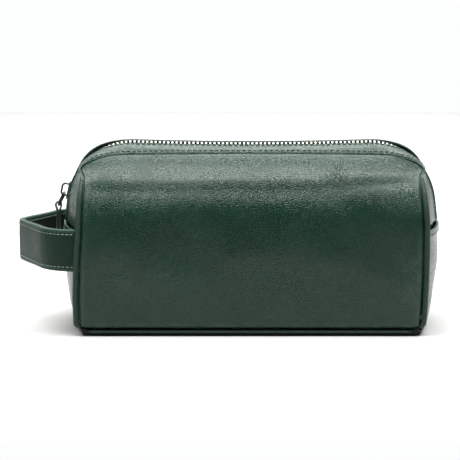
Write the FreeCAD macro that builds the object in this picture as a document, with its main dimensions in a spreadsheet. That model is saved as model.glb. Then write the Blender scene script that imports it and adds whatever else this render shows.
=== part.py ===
import FreeCAD, Part
import Sketcher
import math
import os

# Leather wash bag: a boxy soft case with a metal zip over its top, a strap loop on its left end
# and a leather pull on the slider. Millimetres. X runs along the bag with the handle at -X,
# the front faces -Y and Z is up. The origin is the centre of the face that the bag stands on.

document = FreeCAD.newDocument("wash_bag")
sizes = document.addObject("Spreadsheet::Sheet", "Sizes")

DRIVING_VALUES = {
    # the bag as a whole
    "bag_length": 247.6,          # over the bulged ends, without the handle
    "bag_depth": 103.0,           # front to rear, at the start of the shoulder
    "shoulder_height": 71.0,      # where the upright faces turn into the shoulders
    "shoulder_top": 116.2,        # seam between the panels and the zip facings
    "shoulder_seam_offset": 20.0,  # of that seam from the zip line
    "zip_edge_height": 121.3,     # folded edges of the facings, beside the zip
    "zip_edge_offset": 5.4,       # of those edges from the zip line
    "foot_inset": 1.9,            # how far the bottom edges stand in from the faces
    "foot_height": 4.3,           # bottom seam
    "face_bulge": 1.2,            # of the upright faces, over a straight line
    "shoulder_bulge": 8.0,        # of the shoulders, over a straight line
    # how an inner layer follows the shoulder, as shares of its depth below the leather
    "inset_seam_across": 0.3,
    "inset_seam_down": 0.95,
    "inset_bulge": 0.1,
    # the ends: each bulges out between its two upright seams
    "bulge_bottom": 4.3,
    "bulge_low": 10.0,
    "bulge_hem": 12.9,
    "bulge_top": 18.6,
    "low_height": 33.0,
    "hem_height": 68.5,           # top edge of the lower end panels
    "end_tuck_bottom": 8.3,       # the ends step in by this much at the bottom
    "end_tuck_low": 2.5,
    "end_tuck_top": 2.8,
    # layers
    "leather_thickness": 1.5,
    "lining_thickness": 0.6,
    "board_thickness": 1.5,
    "pocket_thickness": 0.6,
    # seams of the front and rear panels
    "panel_end_inset": 12.6,      # of the upright seams from the bulged ends
    "panel_half_width": "=bag_length / 2 - panel_end_inset",
    "panel_top_narrowing": 1.7,
    "panel_bottom_corner": 4.5,
    "panel_top_corner": 16.0,
    "panel_top_fall": 2.3,        # the top seam falls this much towards the corners
    "piping_radius": 1.75,
    "welt_radius": 1.3,
    "piping_top": 102.0,
    "welt_setback": 0.4,          # of the welts' ends from the pipings
    # the zip, in the plane between front and rear
    "zip_corner_inset": 45.3,     # of each corner arc's centre from the bulged end
    "zip_corner_offset": "=bag_length / 2 - zip_corner_inset",
    "zip_corner_radius": 42.5,    # of the leather over the corners
    "zip_end_slope": 83.0,        # degrees, of the zip down each end
    "zip_dip_slope": 1.9,         # degrees, of the slight sag in the top
    "tape_half_width": 12.0,
    "tooth_depth_below_leather": 0.4,  # of the zip line, so the teeth stand a little proud
    "tooth_pitch": 2.8,
    "tooth_thickness": 2.8,
    "tooth_reach": 3.0,           # outer end of a tooth from the zip line
    "tooth_overlap": 0.5,         # how far a tooth passes the zip line
    "tooth_head": 1.15,
    "tooth_neck": 0.8,
    "tooth_chamfer": 1.0,         # along the outer end of each tooth
    "stop_length": 3.2,
    "stop_clearance": 0.5,        # between the end stops and the slider's post
    "stop_entry": 1.2,            # how far the end stops reach into the slider
    # the slider
    "slider_slope": 77.0,         # degrees, where it sits when the zip is closed
    "slider_half_length": 5.6,
    "slider_half_width": 4.7,
    "slider_tail_half_width": 4.2,
    "slider_corner_run": 1.2,     # the plates' front corners are cut off
    "slider_corner_cut": 0.8,
    "slider_plate": 1.0,
    "slider_inner_half_height": 2.15,
    "slider_flange": 0.8,
    "slider_flange_bottom": 0.5,
    "post_half_width": 0.8,
    "post_length": 3.0,
    "post_tail": 4.8,             # from its nose to its tail
    "bridge_half_span": 3.9,
    "bridge_height": 4.2,
    "bridge_wire_radius": 0.65,
    "bridge_corner": 2.0,
    # ring and leather pull
    "ring_wire_radius": 0.6,
    "ring_length": 9.0,           # centre line
    "ring_width": 6.8,            # centre line
    "ring_corner": 1.4,
    "ring_height_on_bridge": 2.2,  # of its hinge line above the slider's upper plate
    "ring_hang_angle": 28.0,      # degrees from straight down
    "ring_twist": 12.0,           # degrees about its own long axis
    "link_clearance": 0.25,
    "tab_loop_radius": 2.4,
    "tab_loop_width": 3.4,
    "tab_thickness": 2.6,         # two layers together
    "tab_wall": 1.0,
    "tab_length": 27.0,
    "tab_width": 7.0,
    # the handle strap
    "handle_standoff": 31.7,      # of the strap's outermost point from the bulged end
    "handle_reach": "=bag_length / 2 + handle_standoff",
    "handle_bottom": 43.5,
    "handle_width": 26.0,
    "handle_outer_layer": 1.9,
    "handle_inner_layer": 1.7,
    "handle_apex_radius": 11.0,
    "handle_root_radius": 26.0,
    "handle_flex_gap": 4.6,       # free play between the sewn ends and the moving strap
    "anchor_length": 3.8,
    "handle_seam_inset": 0.5,     # of the strap's outer face from the bag's widest depth
    # the slip pocket inside
    "pocket_half_width": 72.0,
    "pocket_bottom": 14.0,
    "pocket_top": 78.0,
}

HALF_LENGTH = "Sizes.bag_length / 2"
HALF_DEPTH = "Sizes.bag_depth / 2"
CLEAR = 15.0                      # how far a cutting block runs past the bag
TINY = 1e-6


def fill_sheet():
    for row, (name, number) in enumerate(DRIVING_VALUES.items(), start=1):
        sizes.set(f"A{row}", name)
        sizes.set(f"B{row}", str(number))
        sizes.setAlias(f"B{row}", name)
    document.recompute()


def value(expression):
    return float(sizes.evalExpression(str(expression)))


def origin_plane(body, role):
    return next(plane for plane in body.Origin.OriginFeatures if plane.Role == role)


def new_body(label):
    body = document.addObject("PartDesign::Body", label)
    body.Label = label
    return body


def new_sketch(body, name, role, height=None):
    # a sketch on one of the body's own planes, lifted along that plane's normal by height
    sketch = body.newObject("Sketcher::SketchObject", name)
    sketch.AttachmentSupport = [(origin_plane(body, role), "")]
    sketch.MapMode = "FlatFace"
    if height is not None:
        sketch.setExpression(".AttachmentOffset.Base.z", str(height))
    return sketch


def pin(sketch, geometry, position, across, up):
    # ties a point of the sketch to two expressions
    for kind, expression in (("DistanceX", across), ("DistanceY", up)):
        number = value(expression)
        index = sketch.addConstraint(
            Sketcher.Constraint(kind, -1, 1, geometry, position, number))
        sketch.setExpression(f"Constraints[{index}]", str(expression))


def vector(across, up):
    return FreeCAD.Vector(value(across), value(up), 0)


def draw_path(sketch, start, steps, closed=True):
    # start is a point; a step is (end) for a line or (middle, end) for an arc through middle
    corner = start
    first = sketch.GeometryCount
    for number, step in enumerate(steps):
        end = step[-1]
        if len(step) == 1:
            shape = Part.LineSegment(vector(*corner), vector(*end))
        else:
            shape = Part.Arc(vector(*corner), vector(*step[0]), vector(*end))
        index = sketch.addGeometry(shape, False)
        forward = sketch.getPoint(index, 1).distanceToPoint(vector(*corner)) < 1e-6
        tail, head = (1, 2) if forward else (2, 1)
        if number:
            sketch.addConstraint(Sketcher.Constraint("Coincident", last, last_head, index, tail))
        else:
            opening_tail = tail
            pin(sketch, index, tail, *start)
        if closed and number == len(steps) - 1:
            sketch.addConstraint(Sketcher.Constraint("Coincident", index, head, first, opening_tail))
        else:
            pin(sketch, index, head, *end)
        if len(step) == 2:
            through = sketch.addGeometry(Part.Point(vector(*step[0])), True)
            pin(sketch, through, 1, *step[0])
            sketch.addConstraint(Sketcher.Constraint("PointOnObject", through, 1, index))
        last, last_head, corner = index, head, end


def draw_circle(sketch, across, up, radius):
    index = sketch.addGeometry(
        Part.Circle(vector(across, up), FreeCAD.Vector(0, 0, 1), value(radius)), False)
    pin(sketch, index, 3, across, up)
    ring = sketch.addConstraint(Sketcher.Constraint("Radius", index, value(radius)))
    sketch.setExpression(f"Constraints[{ring}]", str(radius))


def pad(body, sketch, length, symmetric=False, flipped=False):
    feature = body.newObject("PartDesign::Pad", f"{sketch.Name}_pad")
    feature.Profile = sketch
    feature.setExpression("Length", str(length))
    feature.Midplane = symmetric
    feature.Reversed = flipped
    sketch.Visibility = False
    return feature


def common(label, *parts):
    result = document.addObject("Part::MultiCommon", label)
    result.Shapes = list(parts)
    result.Label = label
    return result


def cut(label, base, tool):
    result = document.addObject("Part::Cut", label)
    result.Base = base
    result.Tool = tool
    result.Label = label
    return result


def block(label, x_range, y_range, z_range):
    box = document.addObject("Part::Box", label)
    box.Label = label
    for axis, side, (low, high) in zip("xyz", ("Length", "Width", "Height"),
                                       (x_range, y_range, z_range)):
        box.setExpression(side, f"({high}) - ({low})")
        box.setExpression(f".Placement.Base.{axis}", str(low))
    return box


# The outer shape of the bag is what three simple solids share: its cross section run along X,
# its bulged plan lofted up, and its front outline, with the zip's corners, run along Y.
# The same three, set in by a layer's thickness, give the inner shapes.

def cross_section_body(label, inset, floor):
    body = new_body(label)
    sketch = new_sketch(body, f"{label}_outline", "YZ_Plane")
    face = f"({HALF_DEPTH} - ({inset}))"
    foot = f"({face} - Sizes.foot_inset)"
    middle_height = "((Sizes.foot_height + Sizes.shoulder_height) / 2)"
    middle = f"({face} - Sizes.foot_inset / 2 + Sizes.face_bulge)"
    seam = f"(Sizes.shoulder_seam_offset - Sizes.inset_seam_across * ({inset}))"
    seam_height = f"(Sizes.shoulder_top - Sizes.inset_seam_down * ({inset}))"
    edge_height = f"(Sizes.zip_edge_height - ({inset}))"
    run = f"({HALF_DEPTH} - Sizes.shoulder_seam_offset)"
    rise = "(Sizes.shoulder_top - Sizes.shoulder_height)"
    span = f"sqrt({run}^2 + {rise}^2)"
    bulge = f"(Sizes.shoulder_bulge - Sizes.inset_bulge * ({inset}))"
    shoulder = f"(({face} + {seam}) / 2 + {bulge} * {rise} / {span})"
    shoulder_height = f"((Sizes.shoulder_height + {seam_height}) / 2 + {bulge} * {run} / {span})"
    edge = "Sizes.zip_edge_offset"
    base = f"({foot} - Sizes.foot_height)"
    draw_path(sketch, (f"-{base}", floor), [
        ((f"-{foot}", "Sizes.foot_height"),),
        ((f"-{middle}", middle_height), (f"-{face}", "Sizes.shoulder_height")),
        ((f"-{shoulder}", shoulder_height), (f"-{seam}", seam_height)),
        ((f"-{edge}", edge_height),),
        ((edge, edge_height),),
        ((seam, seam_height),),
        ((shoulder, shoulder_height), (face, "Sizes.shoulder_height")),
        ((middle, middle_height), (foot, "Sizes.foot_height")),
        ((base, floor),),
        ((f"-{base}", floor),),
    ])
    pad(body, sketch, f"Sizes.bag_length + {2 * CLEAR}", symmetric=True)
    return body


def plan_section(body, name, height, reach, bulge):
    # a plan outline whose ends are arcs through the upright seams, drawn past front and rear
    sketch = new_sketch(body, name, "XY_Plane", height)
    run_out = f"({HALF_DEPTH} + {CLEAR})"
    corner = f"({reach} - ({bulge}) * ({run_out} / ({HALF_DEPTH}))^2)"
    draw_path(sketch, (f"-{corner}", f"-{run_out}"), [
        ((corner, f"-{run_out}"),),
        ((reach, "0"), (corner, run_out)),
        ((f"-{corner}", run_out),),
        ((f"-({reach})", "0"), (f"-{corner}", f"-{run_out}")),
    ])
    return sketch


def plan_body(label, inset, floor):
    body = new_body(label)
    hem_reach = f"({HALF_LENGTH} - ({inset}))"
    levels = (
        (floor, f"({hem_reach} - Sizes.end_tuck_bottom)", "Sizes.bulge_bottom"),
        ("Sizes.low_height", f"({hem_reach} - Sizes.end_tuck_low)", "Sizes.bulge_low"),
        ("Sizes.hem_height", hem_reach, "Sizes.bulge_hem"),
        (f"Sizes.zip_edge_height + {CLEAR}", f"({hem_reach} - Sizes.end_tuck_top)",
         "Sizes.bulge_top"),
    )
    sections = [plan_section(body, f"{label}_level_{number}", *level)
                for number, level in enumerate(levels)]
    loft = body.newObject("PartDesign::AdditiveLoft", f"{label}_loft")
    loft.Profile = sections[0]
    loft.Sections = sections[1:]
    for sketch in sections:
        sketch.Visibility = False
    return body


def zip_arc_point(angle, inset):
    # a point of the left corner arc, inset into the leather; angle is the slope there
    radius = f"(Sizes.zip_corner_radius - ({inset}))"
    across = f"(Sizes.zip_corner_offset + {radius} * sin({angle}))"
    up = f"(Sizes.zip_edge_height - Sizes.zip_corner_radius + {radius} * cos({angle}))"
    return across, up


def front_outline_body(label, inset, floor):
    body = new_body(label)
    sketch = new_sketch(body, f"{label}_outline", "XZ_Plane")
    slope = "(Sizes.zip_end_slope * 1 deg)"
    end_across, end_up = zip_arc_point(slope, inset)
    mid_across, mid_up = zip_arc_point("45 deg", inset)
    radius = f"(Sizes.zip_corner_radius - ({inset}))"
    dip = "(Sizes.zip_dip_slope * 1 deg)"
    top_across = f"(Sizes.zip_corner_offset - {radius} * sin({dip}))"
    top_up = f"({zip_arc_point('0 deg', inset)[1]} - {radius} * (1 - cos({dip})))"
    middle_up = f"({top_up} - {top_across} * tan({dip} / 2))"
    foot_across = f"({end_across} + ({end_up} - ({floor})) / tan({slope}))"
    draw_path(sketch, (f"-{foot_across}", floor), [
        ((f"-{end_across}", end_up),),
        ((f"-{mid_across}", mid_up), (f"-{top_across}", top_up)),
        (("0", middle_up), (top_across, top_up)),
        ((mid_across, mid_up), (end_across, end_up)),
        ((foot_across, floor),),
        ((f"-{foot_across}", floor),),
    ])
    pad(body, sketch, f"Sizes.bag_depth + {2 * CLEAR}", symmetric=True)
    return body


def bag_form(label, inset, floor):
    parts = (
        cross_section_body(f"{label}_section", inset, floor),
        plan_body(f"{label}_plan", inset, floor),
        front_outline_body(f"{label}_front", inset, floor),
    )
    return common(label, *parts)


def panel_cutter(label, flipped):
    # the outline of the front or rear panel, run outwards from the edge of the zip tape
    body = new_body(label)
    start = "-Sizes.tape_half_width" if flipped else "Sizes.tape_half_width"
    sketch = new_sketch(body, f"{label}_outline", "XZ_Plane", start)
    low = "Sizes.foot_height"
    wide = "Sizes.panel_half_width"
    narrow = "(Sizes.panel_half_width - Sizes.panel_top_narrowing)"
    foot = "Sizes.panel_bottom_corner"
    corner = "Sizes.panel_top_corner"
    top = "Sizes.shoulder_top"
    side = f"({top} - Sizes.panel_top_fall)"
    soft = 1 - math.sqrt(0.5)
    draw_path(sketch, (f"-({wide} - {foot})", low), [
        ((f"-({wide} - {soft} * {foot})", f"{low} + {soft} * {foot}"),
         (f"-{wide}", f"{low} + {foot}")),
        ((f"-{narrow}", f"{side} - {corner}"),),
        ((f"-({narrow} - {soft} * {corner})", f"{side} - {soft} * {corner}"),
         (f"-({narrow} - {corner})", side)),
        (("0", top), (f"({narrow} - {corner})", side)),
        ((f"({narrow} - {soft} * {corner})", f"{side} - {soft} * {corner}"),
         (narrow, f"{side} - {corner}")),
        ((wide, f"{low} + {foot}"),),
        ((f"({wide} - {soft} * {foot})", f"{low} + {soft} * {foot}"),
         (f"({wide} - {foot})", low)),
        ((f"-({wide} - {foot})", low),),
    ])
    pad(body, sketch, f"{HALF_DEPTH} + {CLEAR}", flipped=flipped)
    return body


def make_leather(shell):
    # front and rear panels, the two zip facings, the base and the two lower end panels
    front_cutter = panel_cutter("front_cutter", False)
    rear_cutter = panel_cutter("rear_cutter", True)
    far = f"{HALF_LENGTH} + {CLEAR}"
    deep = f"{HALF_DEPTH} + {CLEAR}"
    high = f"Sizes.zip_edge_height + {CLEAR}"
    edge = "Sizes.zip_edge_offset"
    parts = [common("front_panel", shell, front_cutter), common("rear_panel", shell, rear_cutter)]
    for side, cutter, y_range in (("front", front_cutter, (f"-({deep})", f"-{edge}")),
                                  ("rear", rear_cutter, (edge, deep))):
        upper = block(f"{side}_facing_block", (f"-({far})", far), y_range, ("Sizes.hem_height", high))
        hoop = common(f"{side}_facing_hoop", shell, upper)
        parts.append(cut(f"{side}_zip_facing", hoop, cutter))
    for side, x_range in (("left", (f"-({far})", "-Sizes.panel_half_width / 2")),
                          ("right", ("Sizes.panel_half_width / 2", far))):
        lower = block(f"{side}_end_block", x_range, (f"-({deep})", deep),
                      ("Sizes.foot_height", "Sizes.hem_height"))
        wall = common(f"{side}_end_wall", shell, lower)
        trimmed = cut(f"{side}_end_without_front", wall, front_cutter)
        parts.append(cut(f"{side}_end_panel", trimmed, rear_cutter))
    floor = block("base_block", (f"-({far})", far), (f"-({deep})", deep),
                  (str(-CLEAR), "Sizes.foot_height"))
    parts.append(common("base_panel", shell, floor))
    return parts


def make_inner_layers(room, lining_shell, pocket_shell, board_top):
    far = f"{HALF_LENGTH} + {CLEAR}"
    deep = f"{HALF_DEPTH} + {CLEAR}"
    high = f"Sizes.zip_edge_height + {CLEAR}"
    tape = "Sizes.tape_half_width"
    teeth = "Sizes.tooth_reach"
    floor_top = f"{board_top} + Sizes.lining_thickness"
    wall = "(Sizes.panel_half_width - Sizes.leather_thickness - Sizes.lining_thickness)"
    board_block = block("board_block", (f"-({far})", far), (f"-({deep})", deep),
                        (str(-CLEAR), board_top))
    parts = [common("base_board", room, board_block)]
    low_block = block("base_lining_block", (f"-({far})", far), (f"-({deep})", deep),
                      (board_top, floor_top))
    parts.append(common("base_lining", lining_shell, low_block))
    end_blocks = []
    for side, x_range in (("left", (f"-({far})", f"-{wall}")), ("right", (wall, far))):
        end_block = block(f"{side}_lining_block", x_range, (f"-({deep})", deep),
                          (floor_top, "Sizes.hem_height"))
        end_blocks.append(end_block)
        parts.append(common(f"{side}_end_lining", lining_shell, end_block))
    for side, y_range, tape_range in (
            ("front", (f"-({deep})", f"-{tape}"), (f"-{tape}", f"-{teeth}")),
            ("rear", (tape, deep), (teeth, tape))):
        half = block(f"{side}_lining_block", (f"-({far})", far), y_range, (floor_top, high))
        wall_and_ends = common(f"{side}_lining_with_ends", lining_shell, half)
        without_left = cut(f"{side}_lining_without_left", wall_and_ends, end_blocks[0])
        parts.append(cut(f"{side}_lining", without_left, end_blocks[1]))
        strip = block(f"{side}_tape_block", (f"-({far})", far), tape_range,
                      ("Sizes.hem_height", high))
        parts.append(common(f"zip_tape_{side}", lining_shell, strip))
    pocket = block("pocket_block", ("-Sizes.pocket_half_width", "Sizes.pocket_half_width"),
                   ("0", deep), ("Sizes.pocket_bottom", "Sizes.pocket_top"))
    parts.append(common("inner_slip_pocket", pocket_shell, pocket))
    return parts


def make_piping(side, end, outer):
    # a round bead on the upright seam, from the bottom seam round the shoulder to the facing
    name = f"{side}_{end}_piping"
    facing = "-" if side == "front" else ""
    body = new_body(f"{name}_cord")
    line = f"{'-' if end == 'left' else ''}Sizes.panel_half_width"
    path = new_sketch(body, f"{name}_path", "YZ_Plane", line)
    foot = f"({HALF_DEPTH} - Sizes.foot_inset)"
    middle = f"({HALF_DEPTH} - Sizes.foot_inset / 2 + Sizes.face_bulge)"
    run = f"({HALF_DEPTH} - Sizes.shoulder_seam_offset)"
    rise = "(Sizes.shoulder_top - Sizes.shoulder_height)"
    span = f"sqrt({run}^2 + {rise}^2)"
    bulge = f"Sizes.shoulder_bulge / {span}"
    shoulder = f"(({HALF_DEPTH} + Sizes.shoulder_seam_offset) / 2 + {bulge} * {rise})"
    shoulder_up = f"((Sizes.shoulder_height + Sizes.shoulder_top) / 2 + {bulge} * {run})"
    draw_path(path, (f"{facing}{foot}", "Sizes.foot_height"), [
        ((f"{facing}{middle}", "(Sizes.foot_height + Sizes.shoulder_height) / 2"),
         (f"{facing}({HALF_DEPTH})", "Sizes.shoulder_height")),
        ((f"{facing}{shoulder}", shoulder_up),
         (f"{facing}Sizes.shoulder_seam_offset", "Sizes.shoulder_top")),
    ], closed=False)
    section = new_sketch(body, f"{name}_round", "XY_Plane", "Sizes.foot_height")
    draw_circle(section, line, f"{facing}{foot}", "Sizes.piping_radius")
    pipe = body.newObject("PartDesign::AdditivePipe", f"{name}_sweep")
    pipe.Profile = section
    pipe.Spine = path
    bead = cut(f"{name}_bead", body, outer)
    far = f"{HALF_LENGTH} + {CLEAR}"
    deep = f"{HALF_DEPTH} + {CLEAR}"
    kept = block(f"{name}_block", (f"-({far})", far), (f"-({deep})", deep),
                 ("0", "Sizes.piping_top"))
    return common(name, bead, kept)


def make_welt(side, outer):
    # a thin ridge along the bottom seam, between the two pipings
    name = f"{side}_base_welt"
    body = new_body(f"{name}_cord")
    across = f"{'-' if side == 'front' else ''}({HALF_DEPTH} - Sizes.foot_inset)"
    sketch = new_sketch(body, f"{name}_round", "YZ_Plane")
    draw_circle(sketch, across, "Sizes.foot_height", "Sizes.welt_radius")
    pad(body, sketch,
        "2 * (Sizes.panel_half_width - Sizes.piping_radius - Sizes.welt_setback)", symmetric=True)
    return cut(name, body, outer)


def zip_line(distance):
    # point and slope of the teeth's centre line, measured from the closed slider to the right
    depth = value("Sizes.tooth_depth_below_leather")
    radius = value("Sizes.zip_corner_radius") - depth
    offset = value("Sizes.zip_corner_offset")
    centre_up = value("Sizes.zip_edge_height - Sizes.zip_corner_radius")
    dip = math.radians(value("Sizes.zip_dip_slope"))
    start = math.radians(value("Sizes.slider_slope"))
    finish = math.radians(value("Sizes.zip_end_slope"))
    first_arc = radius * (start + dip)
    half_top = offset - radius * math.sin(dip)
    top_radius = half_top / math.sin(dip)
    top_run = 2 * top_radius * dip
    last_arc = radius * (dip + finish)
    if distance <= first_arc:
        slope = start - distance / radius
        return -offset - radius * math.sin(slope), centre_up + radius * math.cos(slope), slope
    distance -= first_arc
    if distance <= top_run:
        slope = -dip + distance / top_radius
        bowl_up = centre_up + radius * math.cos(dip) + top_radius * math.cos(dip)
        return top_radius * math.sin(slope), bowl_up - top_radius * math.cos(slope), slope
    distance -= top_run
    if distance <= last_arc:
        slope = dip - distance / radius
        return offset - radius * math.sin(slope), centre_up + radius * math.cos(slope), slope
    distance -= last_arc
    across = offset + radius * math.sin(finish) + distance * math.cos(finish)
    return across, centre_up + radius * math.cos(finish) - distance * math.sin(finish), -finish


def zip_length():
    radius = value("Sizes.zip_corner_radius - Sizes.tooth_depth_below_leather")
    dip = math.radians(value("Sizes.zip_dip_slope"))
    start = math.radians(value("Sizes.slider_slope"))
    finish = math.radians(value("Sizes.zip_end_slope"))
    half_top = value("Sizes.zip_corner_offset") - radius * math.sin(dip)
    end_up = value("Sizes.zip_edge_height - Sizes.zip_corner_radius") + radius * math.cos(finish)
    straight = (end_up - value("Sizes.hem_height")) / math.sin(finish)
    return radius * (start + finish + 2 * dip) + 2 * half_top * dip / math.sin(dip) + straight


def placed_on_zip(shape, distance):
    # the shape's own X runs along the zip and its Z points out of the bag
    across, up, slope = zip_line(distance)
    turn = FreeCAD.Rotation(FreeCAD.Vector(0, 1, 0), -math.degrees(slope))
    copy = shape.copy()
    copy.Placement = FreeCAD.Placement(FreeCAD.Vector(across, 0, up), turn)
    return copy


def tooth_shape(side):
    # clamp on the tape, neck, and a rounded head that passes between two opposite teeth
    reach = value("Sizes.tooth_reach")
    overlap = value("Sizes.tooth_overlap")
    head = value("Sizes.tooth_head") / 2
    neck = value("Sizes.tooth_neck") / 2
    thickness = value("Sizes.tooth_thickness")
    corners = [(-head, reach), (-head, reach / 2), (-neck, reach / 3), (-neck, overlap),
               (-head, 0), (-head, -overlap / 2), (-neck, -overlap)]
    ring = corners + [(-x, y) for x, y in reversed(corners)]
    points = [FreeCAD.Vector(x, side * y, -thickness / 2) for x, y in ring]
    face = Part.Face(Part.makePolygon(points + points[:1]))
    solid = face.extrude(FreeCAD.Vector(0, 0, thickness))
    rims = [edge for edge in solid.Edges
            if abs(edge.Vertexes[0].Z - edge.Vertexes[1].Z) < TINY
            and all(abs(end.Y) > reach / 2 + TINY for end in edge.Vertexes)]
    return solid.makeChamfer(value("Sizes.tooth_chamfer"), rims)


def make_teeth(name, side, shift):
    pitch = value("Sizes.tooth_pitch")
    tooth = tooth_shape(side)
    first = value("Sizes.post_length / 2") + pitch * shift
    last = zip_length() - value("Sizes.stop_length") - pitch
    count = int((last - first) / pitch) + 1
    teeth = [placed_on_zip(tooth, first + number * pitch) for number in range(count)]
    row = document.addObject("Part::Feature", name)
    row.Shape = Part.makeCompound(teeth)
    row.Label = name
    row.Placement = FreeCAD.Placement()
    return row


def make_stops():
    # two small metal blocks in the mouth of the closed slider, and one across the far end
    reach = value("Sizes.tooth_reach")
    thickness = value("Sizes.tooth_thickness")
    length = value("Sizes.stop_length")
    inner = value("Sizes.post_half_width + Sizes.stop_clearance")
    near = -value("Sizes.slider_half_length - Sizes.stop_entry") - length / 2
    shapes = {"left_zip_stops": [], "right_zip_stop": []}
    for low, high in ((-reach, -inner), (inner, reach)):
        box = Part.makeBox(length, high - low, thickness,
                           FreeCAD.Vector(-length / 2, low, -thickness / 2))
        shapes["left_zip_stops"].append(placed_on_zip(box, near))
    wide = Part.makeBox(length, 2 * reach, thickness,
                        FreeCAD.Vector(-length / 2, -reach, -thickness / 2))
    shapes["right_zip_stop"].append(placed_on_zip(wide, zip_length() - length))
    parts = []
    for name, solids in shapes.items():
        part = document.addObject("Part::Feature", name)
        part.Shape = Part.makeCompound(solids)
        part.Label = name
        part.Placement = FreeCAD.Placement()
        parts.append(part)
    return parts


SLIDER_ACROSS = ("-(Sizes.zip_corner_offset + (Sizes.zip_corner_radius"
                 " - Sizes.tooth_depth_below_leather) * sin(Sizes.slider_slope * 1 deg))")
SLIDER_UP = ("(Sizes.zip_edge_height - Sizes.zip_corner_radius + (Sizes.zip_corner_radius"
             " - Sizes.tooth_depth_below_leather) * cos(Sizes.slider_slope * 1 deg))")


def place_on_slope(body):
    # puts a body drawn at the slider's own centre onto the zip's closed end
    body.Placement = FreeCAD.Placement(
        FreeCAD.Vector(0, 0, 0), FreeCAD.Rotation(FreeCAD.Vector(0, 1, 0), -1))
    body.setExpression(".Placement.Base.x", SLIDER_ACROSS)
    body.setExpression(".Placement.Base.z", SLIDER_UP)
    body.setExpression(".Placement.Rotation.Angle", "-Sizes.slider_slope * 1 deg")


def make_slider():
    # two plates joined by a post at the open end, side flanges over the teeth, and a wire bridge
    body = new_body("slider_body")
    length = "Sizes.slider_half_length"
    wide = "Sizes.slider_half_width"
    tail = "Sizes.slider_tail_half_width"
    inner = "Sizes.slider_inner_half_height"
    post = "Sizes.post_half_width"
    run = "Sizes.slider_corner_run"
    lost = "Sizes.slider_corner_cut"
    plate_outline = ((f"-{length}", f"-({wide} - {lost})"), [
        ((f"-({length} - {run})", f"-{wide}"),),
        (("0", f"-{wide}"),),
        ((length, f"-{tail}"),),
        ((length, tail),),
        (("0", wide),),
        ((f"-({length} - {run})", wide),),
        ((f"-{length}", f"{wide} - {lost}"),),
        ((f"-{length}", f"-({wide} - {lost})"),),
    ])
    lower = new_sketch(body, "slider_lower_plate", "XY_Plane", f"-{inner} - Sizes.slider_plate")
    draw_path(lower, *plate_outline)
    pad(body, lower, "Sizes.slider_plate")
    column = new_sketch(body, "slider_post", "XY_Plane", f"-{inner}")
    draw_path(column, (f"-{length}", "0"), [
        ((f"-{length} + Sizes.post_length / 2", f"-{post}"),),
        ((f"-{length} + Sizes.post_tail", "0"),),
        ((f"-{length} + Sizes.post_length / 2", post),),
        ((f"-{length}", "0"),),
    ])
    pad(body, column, f"2 * {inner}")
    upper = new_sketch(body, "slider_upper_plate", "XY_Plane", inner)
    draw_path(upper, *plate_outline)
    pad(body, upper, "Sizes.slider_plate")
    for number, sign in enumerate(("-", "")):
        flange = new_sketch(body, f"slider_flange_{number}", "XY_Plane",
                            "Sizes.slider_flange_bottom")
        draw_path(flange, (f"-({length} - {run})", f"{sign}{wide}"), [
            (("0", f"{sign}{wide}"),),
            ((length, f"{sign}{tail}"),),
            ((length, f"{sign}({tail} - Sizes.slider_flange)"),),
            (("0", f"{sign}({wide} - Sizes.slider_flange)"),),
            ((f"-({length} - {run})", f"{sign}({wide} - Sizes.slider_flange)"),),
            ((f"-({length} - {run})", f"{sign}{wide}"),),
        ])
        pad(body, flange, f"{inner} - Sizes.slider_flange_bottom + Sizes.slider_plate / 2")
    soft = 1 - math.sqrt(0.5)
    span = "Sizes.bridge_half_span"
    corner = "Sizes.bridge_corner"
    foot = f"({inner} + Sizes.slider_plate / 2)"
    top = f"({inner} + Sizes.slider_plate + Sizes.bridge_height)"
    path = new_sketch(body, "slider_bridge_path", "XZ_Plane")
    draw_path(path, (f"-{span}", foot), [
        ((f"-{span}", f"{top} - {corner}"),),
        ((f"-{span} + {soft} * {corner}", f"{top} - {soft} * {corner}"),
         (f"-{span} + {corner}", top)),
        ((f"{span} - {corner}", top),),
        ((f"{span} - {soft} * {corner}", f"{top} - {soft} * {corner}"),
         (span, f"{top} - {corner}")),
        ((span, foot),),
    ], closed=False)
    wire = new_sketch(body, "slider_bridge_round", "XY_Plane", foot)
    draw_circle(wire, f"-{span}", "0", "Sizes.bridge_wire_radius")
    bridge = body.newObject("PartDesign::AdditivePipe", "slider_bridge")
    bridge.Profile = wire
    bridge.Spine = path
    place_on_slope(body)
    return body


def ring_head():
    # centre of the ring's upper wire, which turns in place against the bridge's lower leg
    hang = math.radians(value("Sizes.ring_hang_angle"))
    grip = value("Sizes.bridge_wire_radius + Sizes.ring_wire_radius + Sizes.link_clearance")
    along = -value("Sizes.bridge_half_span")
    out = value("Sizes.slider_inner_half_height + Sizes.slider_plate + Sizes.ring_height_on_bridge")
    slope = math.radians(value("Sizes.slider_slope"))
    across = value(SLIDER_ACROSS) + along * math.cos(slope) - out * math.sin(slope)
    up = value(SLIDER_UP) + along * math.sin(slope) + out * math.cos(slope)
    return across + grip * math.sin(hang), up + grip * math.cos(hang)


def ring_foot():
    # centre of the ring's lower wire, which the leather pull hangs from
    across, up = ring_head()
    hang = math.radians(value("Sizes.ring_hang_angle"))
    length = value("Sizes.ring_length")
    return across - length * math.sin(hang), up - length * math.cos(hang)


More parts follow.
